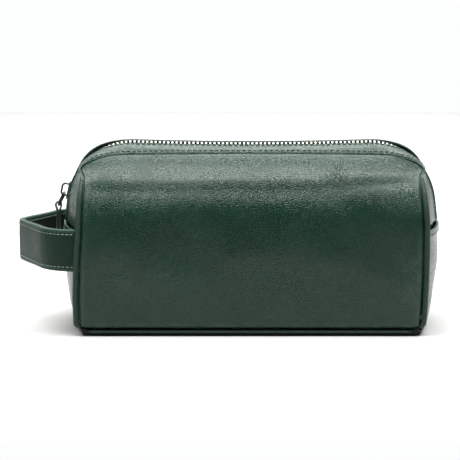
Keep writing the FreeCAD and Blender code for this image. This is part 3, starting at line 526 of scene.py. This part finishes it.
def thicken(piece, wall, rounding, segments, even):
    # a cut strip: even thickness, then every sharp edge rounded
    choose(piece)
    applyModifier(piece, "SOLIDIFY", {"thickness": mm(wall), "offset": -1, "use_even_offset": even})
    applyModifier(piece, "BEVEL", {"width": mm(rounding), "segments": segments, "limit_method": "ANGLE",
                                   "angle_limit": math.radians(50)})
    bpy.ops.object.shade_smooth_by_angle(angle=math.radians(60))


def tube(name, points, radii, sides):
    # a round bead along a line of points, its radius following the list
    clearSelection()
    curve = bpy.data.curves.new(name, "CURVE")
    curve.dimensions = "3D"
    curve.bevel_depth = 1.0
    curve.bevel_resolution = max(1, sides // 4)
    curve.use_fill_caps = True
    line = curve.splines.new("POLY")
    line.points.add(len(points) - 1)
    for spot, place, radius in zip(line.points, points, radii):
        spot.co = (*place, 1)
        spot.radius = mm(radius)
    piece = bpy.data.objects.new(name, curve)
    bpy.context.collection.objects.link(piece)
    choose(piece)
    bpy.ops.object.convert(target="MESH")
    piece = bpy.context.object
    bpy.ops.object.shade_smooth()
    return piece


stitchLift = 0.17                 # a stitch's middle stands this far off the leather


def stitchRow(name, spots, length, material, body, radius, slant=0.0):
    # one stitch is modelled, then copied to every (place, along, out) of the row
    clearSelection()
    bpy.ops.mesh.primitive_uv_sphere_add(segments=8, ring_count=6, radius=1)
    master = bpy.context.object
    size = mm(radius)
    master.data.transform(Matrix.Diagonal((mm(length) / 2, size, size * 0.8, 1)))
    copies = []
    for place, along, out in spots:
        copy = master.copy()
        copy.data = master.data.copy()
        bpy.context.collection.objects.link(copy)
        x = along.normalized()
        z = (out - x * out.dot(x)).normalized()
        y = z.cross(x)
        basis = Matrix((x, y, z)).transposed()
        turn = Matrix.Rotation(math.radians(slant), 3, "Z")
        copy.data.transform((basis @ turn).to_4x4())
        copy.data.transform(Matrix.Translation(place + z * mm(stitchLift)))
        copies.append(copy)
    clearSelection()
    bpy.data.objects.remove(master)
    for copy in copies:
        copy.select_set(True)
    bpy.context.view_layer.objects.active = copies[0]
    bpy.ops.object.join()
    row = bpy.context.object
    row.name = name
    bpy.ops.object.shade_smooth()
    coat(row, material)
    if body:
        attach(row, body)
    return row


def spotsAlong(line, pitch):
    # evenly spaced places on a polyline of (place, out) pairs, with the line's direction
    lengths = [0.0]
    for (a, _), (b, _) in zip(line, line[1:]):
        lengths.append(lengths[-1] + (b - a).length)
    count = int(lengths[-1] / mm(pitch))
    spots, index = [], 0
    for number in range(count):
        goal = (number + 0.5) * mm(pitch)
        while index < len(line) - 2 and lengths[index + 1] < goal:
            index += 1
        (a, outA), (b, outB) = line[index], line[index + 1]
        t = (goal - lengths[index]) / max(1e-9, lengths[index + 1] - lengths[index])
        spots.append((a.lerp(b, t), b - a, outA.lerp(outB, t)))
    return spots


# ---- front and rear panels

for side, label in ((-1, "front"), (1, "rear")):
    panel = gridPiece(f"{label}Panel", 200, 124,
                      partial(panelPoint, side=side), rub=partial(panelRub, side=side),
                      wrinkle=partial(panelWrinkle, side=side), crowd=(1.5, 1.5))
    settle(panel, "root", bodyLeather, [f"{label}_panel"])
print("panels made")

# ---- zip facings: from the folded edge beside the zip to the panels' seams, end to end

facing = {"tuck": 6.0, "tuckIn": 2.2, "endBulge": 0.9, "topBulge": 0.3, "wall": 0.9,
          "lipFront": 0.3, "lipRear": 2.0, "frontDrop": 1.3, "behindPanel": 1.5, "topWide": 16.0,
          "endWider": 30.0, "seamDrop": 1.35, "seamWall": 0.7, "hem": 0.8, "hemWide": 3.0}
arcTurn = math.radians(bag["endSlope"])
dipTurn = math.radians(bag["dipSlope"])
arcStartUp = bag["edgeHeight"] - bag["cornerRadius"] * (1 - math.cos(arcTurn))
straightLength = (arcStartUp - bag["hemHeight"] + facing["tuck"]) / math.sin(arcTurn)
cornerLength = bag["cornerRadius"] * (arcTurn + dipTurn)
halfTop = bag["cornerOffset"] - bag["cornerRadius"] * math.sin(dipTurn)
topRadius = halfTop / math.sin(dipTurn)
halfContour = straightLength + cornerLength + topRadius * dipTurn


def contourPoint(length):
    # x, height and slope of the leather's line beside the zip, from the left hem to the middle
    if length < straightLength:
        back = straightLength - length
        x = -bag["cornerOffset"] - bag["cornerRadius"] * math.sin(arcTurn) - back * math.cos(arcTurn)
        return x, arcStartUp - back * math.sin(arcTurn), arcTurn
    length -= straightLength
    if length < cornerLength:
        slope = arcTurn - length / bag["cornerRadius"]
        centreUp = bag["edgeHeight"] - bag["cornerRadius"]
        return (-bag["cornerOffset"] - bag["cornerRadius"] * math.sin(slope),
                centreUp + bag["cornerRadius"] * math.cos(slope), slope)
    slope = -dipTurn + (length - cornerLength) / topRadius
    lift = bag["edgeHeight"] - bag["cornerRadius"] + (bag["cornerRadius"] + topRadius) * math.cos(dipTurn)
    return topRadius * math.sin(slope), lift - topRadius * math.cos(slope), slope


def panelOutline(steps):
    # (half width, length up) along the panel's edge, from its side at the hem to the top's middle
    low = lengthAtHeight(bag["hemHeight"] - facing["tuck"]) / profileLength
    points = []
    for number in range(steps + 1):
        v = blendValues(low, 1.0, math.sin(math.pi / 2 * number / steps))
        x = outlineHalfWidth(v * profileLength, profileLength)
        points.append((x, v * topLength(x)))
    for number in range(1, steps + 1):
        x = points[steps][0] * (1 - number / steps)
        points.append((x, topLength(x)))
    return points


outline = panelOutline(160)
outlineLengths = [0.0]
for (x, up), (nextX, nextUp) in zip(outline, outline[1:]):
    outlineLengths.append(outlineLengths[-1] + math.hypot(nextX - x, nextUp - up))


def seamPoint(t):
    # a point of that edge, where the facing is sewn on behind it: t = 0 at the hem, 1 in the middle
    goal = min(1.0, max(0.0, t)) * outlineLengths[-1]
    index = max(0, bisect.bisect_right(outlineLengths, goal, 0, len(outline) - 1) - 1)
    part = (goal - outlineLengths[index]) / (outlineLengths[index + 1] - outlineLengths[index])
    x, up = (blendValues(a, b, part) for a, b in zip(outline[index], outline[index + 1]))
    depth, height = profilePoint(min(up, profileLength))
    outDepth, outHeight = profileNormal(up)
    behind = facing["behindPanel"]
    return x, depth - behind * outDepth, height - behind * outHeight


def facingPoint(u, v, side, inset=0.0):
    # u runs from the left hem to the right one, v from the zip's edge to the seam
    t = 1 - abs(u)
    x, height, slope = contourPoint(t * halfContour)
    seamX, seamDepth, seamUp = seamPoint(t)
    tucked = facing["tuckIn"] * (1 - smooth(bag["hemHeight"] - 3, bag["hemHeight"] + 2.5, height))
    lip = facing["lipFront"] if side < 0 else facing["lipRear"]
    raised = lip * math.exp(-((math.degrees(slope) - 38) / 20) ** 2) * (1 - smooth(0.0, 0.75, v))
    zipSide = Vector((-x, bag["edgeDepth"], height))
    seamSide = Vector((seamX, seamDepth, seamUp))
    place = zipSide.lerp(seamSide, v)
    out = Vector((math.sin(slope), 0.12, math.cos(slope))).normalized()
    steep = math.sin(abs(slope))
    wide = facing["topWide"] + facing["endWider"] * steep
    bulge = blendValues(facing["topBulge"], facing["endBulge"], steep) * 4 * v * (1 - v)
    fold = 0.2 * math.exp(-(v * wide / 2.2) ** 2)
    edgeDrop = -0.5 * math.exp(-(v * wide / 0.8) ** 2)
    if side < 0:
        edgeDrop -= facing["frontDrop"] * (1 - smooth(0.0, 0.8, v)) * (1 - steep)
    seamDrop = facing["seamDrop"] * (1 - math.exp(-((1 - v) * wide / facing["seamWall"]) ** 2))
    hem = facing["hem"] * steep * (1 - smooth(facing["hemWide"] - 0.3, facing["hemWide"] + 0.3, v * wide))
    wave = noise.noise(Vector((x / 17, v * 2.1, side * 4.0))) * (0.35 + 0.5 * steep)
    wave *= math.sin(math.pi * v)
    place += out * (bulge + fold + edgeDrop + seamDrop + hem + raised + wave - tucked - inset)
    across = -place.x if u < 0 else place.x
    return Vector((mm(across), mm(side * place.y), mm(place.z)))


def facingRub(u, v, side):
    t = 1 - abs(u)
    slope = contourPoint(t * halfContour)[2]
    wide = facing["topWide"] + facing["endWider"] * math.sin(abs(slope))
    edge = 0.35 * math.exp(-(v * wide / 1.4) ** 2) + 0.2 * math.exp(-((1 - v) * wide / 1.6) ** 2)
    return edge * (0.7 + 0.6 * noise.noise(Vector((u * 20, v * 3, side))))


def facingLine(side, fromEdge, atSeam):
    # a line on the facing, so many millimetres from one of its two edges
    line, count, reach = [], 240, 0.955
    for number in range(count + 1):
        u = reach * (2 * number / count - 1)
        slope = contourPoint((1 - abs(u)) * halfContour)[2]
        zipEdge, seamEdge = facingPoint(u, 0, side), facingPoint(u, 1, side)
        wide = (seamEdge - zipEdge).length * 1000
        v = 1 - fromEdge / wide if atSeam else fromEdge / wide
        out = Vector((math.copysign(math.sin(slope), -u), side * 0.3, math.cos(slope)))
        line.append((facingPoint(u, v, side), out))
    return line


for side, label in ((-1, "front"), (1, "rear")):
    strip = gridPiece(f"{label}ZipFacing", 300, 44,
                      partial(facingPoint, side=side), rub=partial(facingRub, side=side),
                      wall=facing["wall"], centre=(0, side * 0.02, 0.04), crowd=(1.0, 1.8))
    settle(strip, "root", bodyLeather, [f"{label}_zip_facing"])
    for edge, fromEdge, atSeam in (("Zip", 2.4, False), ("Seam", 2.6, True)):
        stitchRow(f"{label}{edge}Stitches", spotsAlong(facingLine(side, fromEdge, atSeam), 3.6), 2.6,
                  darkThread, "root", 0.28)
print("zip facings made")

# ---- lower end panels, each with a turned and stitched hem along its top

endPanel = {"reachFoot": 117.6, "reachLow": 122.9, "reachHem": 124.0, "lowHeight": 33.0,
            "bulgeFoot": 5.6, "bulgeLow": 11.4, "bulgeHem": 13.1, "hemBand": 4.6, "hemStand": 1.3,
            "stitchUp": 1.3, "stitchSink": 0.25, "insideSeam": 0.9, "rollDepth": 1.1, "rollWidth": 1.5,
            "swell": 0.9, "fuller": {-1: 1.2, 1: 0.5}}


def throughThree(height, foot, low, hem):
    # the value at a height, on the parabola through the bottom, low and hem values
    a, b, c = bag["footHeight"], endPanel["lowHeight"], bag["hemHeight"]
    return (foot * (height - b) * (height - c) / ((a - b) * (a - c))
            + low * (height - a) * (height - c) / ((b - a) * (b - c))
            + hem * (height - a) * (height - b) / ((c - a) * (c - b)))


def endPoint(u, v, end, inset=0.0):
    height = blendValues(bag["footHeight"], bag["hemHeight"], v)
    depth, _ = profilePoint(lengthAtHeight(height))
    reach = throughThree(height, endPanel["reachFoot"], endPanel["reachLow"], endPanel["reachHem"])
    bulge = throughThree(height, endPanel["bulgeFoot"], endPanel["bulgeLow"], endPanel["bulgeHem"])
    y = u * (depth - endPanel["insideSeam"])
    fuller = endPanel["fuller"][end] * smooth(4, 22, height) * (1 - smooth(38, 62, height))
    x = reach + fuller - bulge * (y / depth) ** 2
    edge = max(0.0, min((1 - abs(u)) * depth, height - bag["footHeight"]))
    roll = endPanel["rollDepth"] * math.exp(-(edge / endPanel["rollWidth"]) ** 1.5)
    band = bag["hemHeight"] - endPanel["hemBand"]
    stand = endPanel["hemStand"] * smooth(band - 0.5, band + 0.4, height) * smooth(0, 2.5, edge)
    stitched = -endPanel["stitchSink"] * math.exp(-((height - band - endPanel["stitchUp"]) / 0.7) ** 2)
    soft = noise.noise(Vector((y / 26, height / 22, 11.0 * end))) * endPanel["swell"] * smooth(0, 12, edge)
    x += stand + stitched - roll + soft - inset
    return Vector((mm(end * x), mm(y), mm(height)))


def endRub(_, v):
    height = blendValues(bag["footHeight"], bag["hemHeight"], v)
    return 0.5 * math.exp(-((bag["hemHeight"] - height) / 1.1) ** 2)


for end, label in ((-1, "left"), (1, "right")):
    panel = gridPiece(f"{label}EndPanel", 84, 96, partial(endPoint, end=end),
                      rub=endRub, crowd=(1.3, 1.3))
    settle(panel, "root", bodyLeather, [f"{label}_end_panel"])
    height = bag["hemHeight"] - endPanel["hemBand"] + endPanel["stitchUp"] - bag["footHeight"]
    v = height / (bag["hemHeight"] - bag["footHeight"])
    line = [(endPoint(-0.96 + 1.92 * n / 80, v, end), Vector((end, 0, 0))) for n in range(81)]
    stitchRow(f"{label}HemStitches", spotsAlong(line, 3.8), 2.8, thread, "root", radius=0.3)
print("end panels made")

# ---- base: flat where it stands, turned up all round to the bottom seam

base = {"turn": 3.3, "wall": 1.3, "depth": 50.7, "reach": 114.0, "bow": 5.0, "lean": -1.2}


def basePoint(u, v):
    y = (2 * v - 1) * base["depth"]
    x = u * (base["reach"] - base["bow"] * (2 * v - 1) ** 2) + base["lean"]
    fromEnd = (1 - abs(u)) * base["reach"]
    fromSide = base["depth"] - abs(y)
    corner = base["turn"]
    lost = min(corner, math.hypot(max(0.0, corner - fromEnd), max(0.0, corner - fromSide)))
    up = corner - math.sqrt(max(0.0, corner ** 2 - lost ** 2))
    return Vector((mm(x), mm(y), mm(up * (bag["footHeight"] - 0.4) / corner)))


bottom = gridPiece("basePanel", 150, 80, basePoint, wall=base["wall"], centre=(0, 0, 0.05),
                   crowd=(1.8, 1.8))
settle(bottom, "root", baseLeatherPaintedShade, ["base_panel"])

# ---- piping on the four upright seams and the thin welts of the bottom seam

piping = {"lowRadius": 1.85, "topRadius": 0.7, "topLength": 107.0, "beside": 0.15,
          "sinkLow": 0.7, "sinkFace": 0.5, "sinkTop": 1.9, "footIn": 1.6}
welt = {"reach": 105.6, "depth": 50.2, "up": 2.9, "radius": 0.75, "tip": 0.3}


def pipingLine(side, end):
    points, radii = [], []
    steps = 100
    for number in range(steps + 1):
        t = number / steps
        up = blendValues(1.2, piping["topLength"], t)
        depth, height = profilePoint(up)
        outDepth, outHeight = profileNormal(up)
        grown = piping["lowRadius"] * (0.35 + 0.65 * math.sqrt(smooth(0.8, 4.0, up)))
        radius = grown - (piping["lowRadius"] - piping["topRadius"]) * smooth(86, 107, up)
        sink = piping["sinkLow"] + piping["sinkFace"] * smooth(50, 80, up)
        sink += piping["sinkTop"] * smooth(80, 107, up)
        out = alongTable(bag["widths"], min(up, 100)) + piping["beside"] + radius
        out -= piping["footIn"] * (1 - smooth(1.0, 5.0, up)) ** 2
        across = end * out + alongTable(bag["leans"], up)
        points.append(Vector((mm(across), mm(side * (depth - sink * outDepth)),
                              mm(height - sink * outHeight))))
        radii.append(radius)
    return points, radii


for side, label in ((-1, "front"), (1, "rear")):
    for end, where in ((-1, "left"), (1, "right")):
        points, radii = pipingLine(side, end)
        bead = tube(f"{label}{where.capitalize()}Piping", points, radii, sides=14)
        settle(bead, "root", pipingLeather, [f"{label}_{where}_piping"])
    line = [Vector((mm(blendValues(-welt["reach"], welt["reach"], n / 60) + base["lean"]),
                    mm(side * welt["depth"]), mm(welt["up"]))) for n in range(61)]
    bead = tube(f"{label}BaseWelt", line, [welt["tip"]] + [welt["radius"]] * 59 + [welt["tip"]], sides=10)
    settle(bead, "root", pipingLeather, [f"{label}_base_welt"])
print("base and piping made")

# ---- the strap handle: two leather layers sewn together, both ends sewn into the left seams

strap = {"reach": 155.5, "low": 42.6, "wide": 27.0, "outer": 1.9, "inner": 1.7, "apexRadius": 11.0,
         "rootRadius": 26.0, "seamX": 110.6, "seamDepth": 51.0, "stitchIn": 2.9, "pitch": 2.9}


def strapLine(offset):
    # plan route of one half, from the outermost point back to the front seam, offset inwards
    apexTurn = math.radians(27)
    leanTurn = math.pi / 2 - apexTurn
    points = []

    def add(x, y, direction):
        points.append((Vector((x, y)), direction))

    apex, root = strap["apexRadius"], strap["rootRadius"]
    for number in range(14):
        turn = apexTurn * number / 14
        add(-strap["reach"] + apex * (1 - math.cos(turn)), -apex * math.sin(turn), math.pi / 2 - turn)
    startX = -strap["reach"] + apex * (1 - math.cos(apexTurn))
    startY = -apex * math.sin(apexTurn)
    endY = -strap["seamDepth"] + root * (1 - math.cos(leanTurn))
    length = (startY - endY) / math.sin(leanTurn)
    for number in range(40):
        go = length * number / 40
        add(startX + go * math.cos(leanTurn), startY - go * math.sin(leanTurn), leanTurn)
    lastX = startX + length * math.cos(leanTurn)
    for number in range(30):
        turn = leanTurn * number / 30
        add(lastX + root * (math.sin(leanTurn) - math.sin(leanTurn - turn)),
            endY - root * (math.cos(leanTurn - turn) - math.cos(leanTurn)), leanTurn - turn)
    endX = lastX + root * math.sin(leanTurn)
    for number in range(8):
        add(blendValues(endX, -strap["seamX"], number / 7), -strap["seamDepth"], 0.0)
    moved = []
    for place, direction in points:
        # outwards is to the left of the route's way back to the bag
        out = Vector((-math.sin(direction), -math.cos(direction)))
        moved.append((place - out * offset, out))
    return moved


def fullStrapLine(offset):
    half = strapLine(offset)
    front = list(reversed(half))
    rear = [(Vector((p.x, -p.y)), Vector((o.x, -o.y))) for p, o in half[1:]]
    return front + rear


def strapLayer(name, offset, thickness, material, crown):
    # a flat band swept along the route, its long edges rounded
    route = fullStrapLine(0)
    columns, rows = len(route) - 1, 10

    def shape(u, v):
        place, out = route[round((u + 1) / 2 * columns)]
        sag = 0.5 * math.sin(math.pi * v) * crown
        across = place - out * (offset - sag * 0.5)
        droop = 0.35 * noise.noise(Vector((place.x / 25, place.y / 25, 2.0)))
        return Vector((mm(across.x), mm(across.y), mm(strap["low"] + strap["wide"] * v + droop)))

    def rub(u, v):
        return 0.45 * math.exp(-(min(v, 1 - v) * strap["wide"] / 1.1) ** 2)

    layer = gridPiece(name, columns, rows, shape, rub=rub, wall=0, centre=(-0.128, 0, 0.056))
    thicken(layer, thickness, 0.55, 3, True)
    coat(layer, material)
    return layer


straps = [
    ("handleOuterStrap", 0.0, strap["outer"], strapLeatherPaintedShade, 1.0,
     ["handle_outer_strap", "handle_anchor_front", "handle_anchor_rear"]),
    ("handleInnerStrap", strap["outer"] - 0.02, strap["inner"], darkLining, -0.6, ["handle_inner_strap"]),
]
for name, offset, thickness, material, crown, nodes in straps:
    layer = strapLayer(name, offset, thickness, material, crown)
    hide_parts(*nodes)
    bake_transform(layer)

for label, height in (("Low", strap["low"] + strap["stitchIn"]),
                      ("High", strap["low"] + strap["wide"] - strap["stitchIn"])):
    for face, offset, sign in (("Outer", 0.0, 1), ("Inner", strap["outer"] + strap["inner"], -1)):
        line = []
        for place, out in fullStrapLine(0)[6:-6]:
            spot = place - out * (offset - (0.16 if face == "Outer" else 0.02))
            line.append((Vector((mm(spot.x), mm(spot.y), mm(height))),
                         Vector((out.x * sign, out.y * sign, 0))))
        row = stitchRow(f"handle{face}Stitches{label}", spotsAlong(line, strap["pitch"]), 2.1,
                        thread, None, slant=6, radius=0.3)
        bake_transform(row)
print("handle made")

# ---- the leather pull: a strip folded round the ring and sewn to itself

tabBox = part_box("pull_tab")
tabX = (tabBox[0][0] + tabBox[1][0]) / 2
tabTop = tabBox[1][2]
tab = {"loop": 2.4, "wall": 1.05, "width": 7.0, "neckWidth": 3.6, "length": 27.0, "gap": 0.25}


def tabHalfWidth(down):
    # the strip is cut narrow where it passes through the ring
    return blendValues(tab["neckWidth"], tab["width"], smooth(3.2, 7.5, down)) / 2


def tabRoute():
    # from the lower end of one layer up over the ring and down the other
    legs = []
    steps = 30
    for number in range(steps):
        down = blendValues(tab["length"], tab["loop"], number / steps)
        spread = blendValues(tab["gap"] / 2 + tab["wall"], tab["loop"], smooth(7.5, 2.4, down))
        flare = 0.9 * smooth(15, 27, down)
        legs.append((spread + flare, down))
    top = [(tab["loop"] * math.cos(a), tab["loop"] * (1 - math.sin(a)))
           for a in [math.pi * n / 16 for n in range(1, 16)]]
    return legs + top + [(-x, d) for x, d in reversed(legs)]


tabPoints = tabRoute()


def tabShape(u, v):
    x, down = tabPoints[round(v * (len(tabPoints) - 1))]
    return Vector((tabX + mm(x), mm(u * tabHalfWidth(down)), tabTop - mm(down)))


pullTab = gridPiece("pullTab", 8, len(tabPoints) - 1, tabShape,
                    rub=lambda u, v: 0.5 * smooth(0.8, 1.0, abs(u)), wall=0,
                    centre=(tabX, 0, tabTop - mm(10)))
thicken(pullTab, tab["wall"], 0.3, 2, False)
# the pull takes the strap's leather, with the same darker dye of painted shade
settle(pullTab, "tab", strapLeatherPaintedShade, ["pull_tab"])
for face in (-1, 1):
    for edge in (-1, 1):
        line = []
        for number in range(20):
            down = blendValues(8.0, 25.0, number / 19)
            x = tab["gap"] / 2 + tab["wall"] + 0.9 * smooth(15, 27, down)
            line.append((Vector((tabX + mm(face * (x - 0.12)), mm(edge * 2.3), tabTop - mm(down))),
                         Vector((face, 0, 0))))
        stitchRow(f"tabStitches{'Out' if face < 0 else 'In'}{'Front' if edge < 0 else 'Rear'}",
                  spotsAlong(line, 2.8), 2.0, thread, "tab", radius=0.26)
print("pull made")

# ---- linings and the slip pocket: cloth a little inside the leather

def liningPiece(name, parts, nodes):
    made = []
    for number, (columns, rows, shape, centre) in enumerate(parts):
        made.append(gridPiece(f"{name}{number}", columns, rows, shape, wall=0.5, centre=centre))
    clearSelection()
    for item in made:
        item.select_set(True)
    bpy.context.view_layer.objects.active = made[0]
    if len(made) > 1:
        bpy.ops.object.join()
    piece = bpy.context.object
    piece.name = name
    settle(piece, "root", liningCloth, nodes)
    return piece


gap = 2.4
for side, label in ((-1, "front"), (1, "rear")):
    liningPiece(
        f"{label}Lining",
        [(80, 50, partial(panelPoint, side=side, inset=gap, detail=False), (0, 0, 0.055)),
         (120, 12, lambda u, v, side=side: facingPoint(u, 0.45 + 0.55 * v, side, inset=gap + 1.2),
          (0, side * 0.02, 0.04))],
        [f"{label}_lining"])
for end, label in ((-1, "left"), (1, "right")):
    liningPiece(f"{label}EndLining",
                [(40, 30, lambda u, v, end=end: endPoint(u * 0.96, 0.02 + 0.94 * v, end, inset=gap),
                  (0, 0, 0.055))],
                [f"{label}_end_lining"])


def baseLiningPoint(u, v):
    place = basePoint(u * 0.955, 0.5 + (v - 0.5) * 0.92)
    return Vector((place.x, place.y, mm(3.1)))


liningPiece("baseLining", [(60, 30, baseLiningPoint, (0, 0, -1))], ["base_lining"])
pocket = {"half": 72.0, "low": 14.0, "top": 78.0, "stand": 3.4}


def pocketPoint(u, v):
    up = blendValues(lengthAtHeight(pocket["low"]), lengthAtHeight(pocket["top"]), v)
    depth, height = profilePoint(up)
    gape = 1.2 * v * v * math.cos(math.pi * u / 2)
    return Vector((mm(u * pocket["half"]), mm(depth - pocket["stand"] - gape), mm(height)))


liningPiece("innerSlipPocket", [(50, 30, pocketPoint, (0, 0, 0.055))],
            ["inner_slip_pocket"])
print("linings made")

# ---- the carried metal and cloth nodes keep their shape and get their real finish

finishes = {
    "zip_teeth_front": nickel, "zip_teeth_rear": nickel, "left_zip_stops": nickel,
    "right_zip_stop": nickel, "zip_tape_front": tapeCloth, "zip_tape_rear": tapeCloth,
    "slider_body": gunmetal, "pull_ring": gunmetal, "base_board": fibreBoard,
}
for node, material in finishes.items():
    coat(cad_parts[node], material)

# ---- floor, light and camera

clearSelection()
bpy.ops.mesh.primitive_plane_add(size=2, location=(0, 0.71, 0))
floor = bpy.context.object
floor.data.transform(Matrix.Diagonal((1.4, 1.0, 1.0, 1.0)))
floor.name = "floor"
floorMaterial = newMaterial("paleSweep")    # matt white paper sweep
finishMaterial(floorMaterial, {"Base Color": hexColour("C6C6C5"), "Roughness": 0.9}, {})
floor.data.materials.append(floorMaterial)
bpy.context.scene.view_settings.view_transform = "Standard"

studio = {"front": 0.012, "above": 0.08, "behind": 0.65, "overhead": 31.0, "back": 17.0, "sweep": 50.0}
world = bpy.data.worlds.new("softStudio")
bpy.context.scene.world = world
world.use_nodes = True
tree = world.node_tree
tree.nodes.clear()
sky = addNode(world, "ShaderNodeTexCoord")
parts = addNode(world, "ShaderNodeSeparateXYZ", links={"Vector": (sky, "Generated")})
# a dim room in front of the bag, brighter walls behind it and a bright ceiling
shades = [addNode(world, "ShaderNodeMapRange", {"interpolation_type": "SMOOTHSTEP"},
                  {"From Min": start, "From Max": end, "To Min": low, "To Max": high},
                  {"Value": (parts, axis)})
          for axis, start, end, low, high in (("Y", 0.4, 0.92, studio["front"], studio["behind"]),
                                              ("Z", 0.35, 0.95, 0.0, studio["above"]))]
shade = addNode(world, "ShaderNodeMath", settings={"operation": "ADD"},
                links={number: (node, "Result") for number, node in enumerate(shades)})
seen = addNode(world, "ShaderNodeLightPath")
dim = addNode(world, "ShaderNodeBackground", values={"Color": hexColour("FCFDFC")},
              links={"Strength": (shade, "Value")})
plain = addNode(world, "ShaderNodeBackground",
                values={"Color": hexColour("FDFEFE"), "Strength": 1.0})
mixed = addNode(world, "ShaderNodeMixShader", links={0: (seen, "Is Camera Ray")})
tree.links.new(dim.outputs[0], mixed.inputs[1])
tree.links.new(plain.outputs[0], mixed.inputs[2])
addNode(world, "ShaderNodeOutputWorld", links={"Surface": (mixed, "Shader")})


def softBox(name, place, aim, size, power):
    light = bpy.data.lights.new(name, "AREA")
    light.shape = "RECTANGLE"
    light.size, light.size_y = size
    light.energy = power
    lamp = bpy.data.objects.new(name, light)
    bpy.context.collection.objects.link(lamp)
    lamp.location = place
    lamp.rotation_euler = (Vector(aim) - Vector(place)).to_track_quat("-Z", "Y").to_euler()
    return lamp


softBox("overheadBox", (0.0, -0.18, 1.1), (0, -0.05, 0.0), (1.7, 0.5), studio["overhead"])
softBox("backBox", (0.0, 1.2, 1.08), (0, 0.0, 0.1), (2.4, 0.5), studio["back"])
sweepLight = softBox("sweepBox", (0.0, 1.4, 1.5), (0, 1.15, 0.0), (2.8, 1.3), studio["sweep"])
sweepLight.visible_glossy = False    # it only lights the sweep behind the bag

view = {"distance": 1.0, "tilt": 9.0, "lens": 122.2, "aimX": -0.0141, "aimUp": 0.0696, "aimFront": -0.050}
tilt = math.radians(view["tilt"])
cameraData = bpy.data.cameras.new("camera")
cameraData.lens = view["lens"]
cameraData.sensor_width = 36
camera = bpy.data.objects.new("camera", cameraData)
bpy.context.collection.objects.link(camera)
camera.location = (view["aimX"], view["aimFront"] - view["distance"] * math.cos(tilt),
                   view["aimUp"] + view["distance"] * math.sin(tilt))
camera.rotation_euler = (math.pi / 2 - tilt, 0, 0)
bpy.context.scene.camera = camera
print("stage, light and camera made")
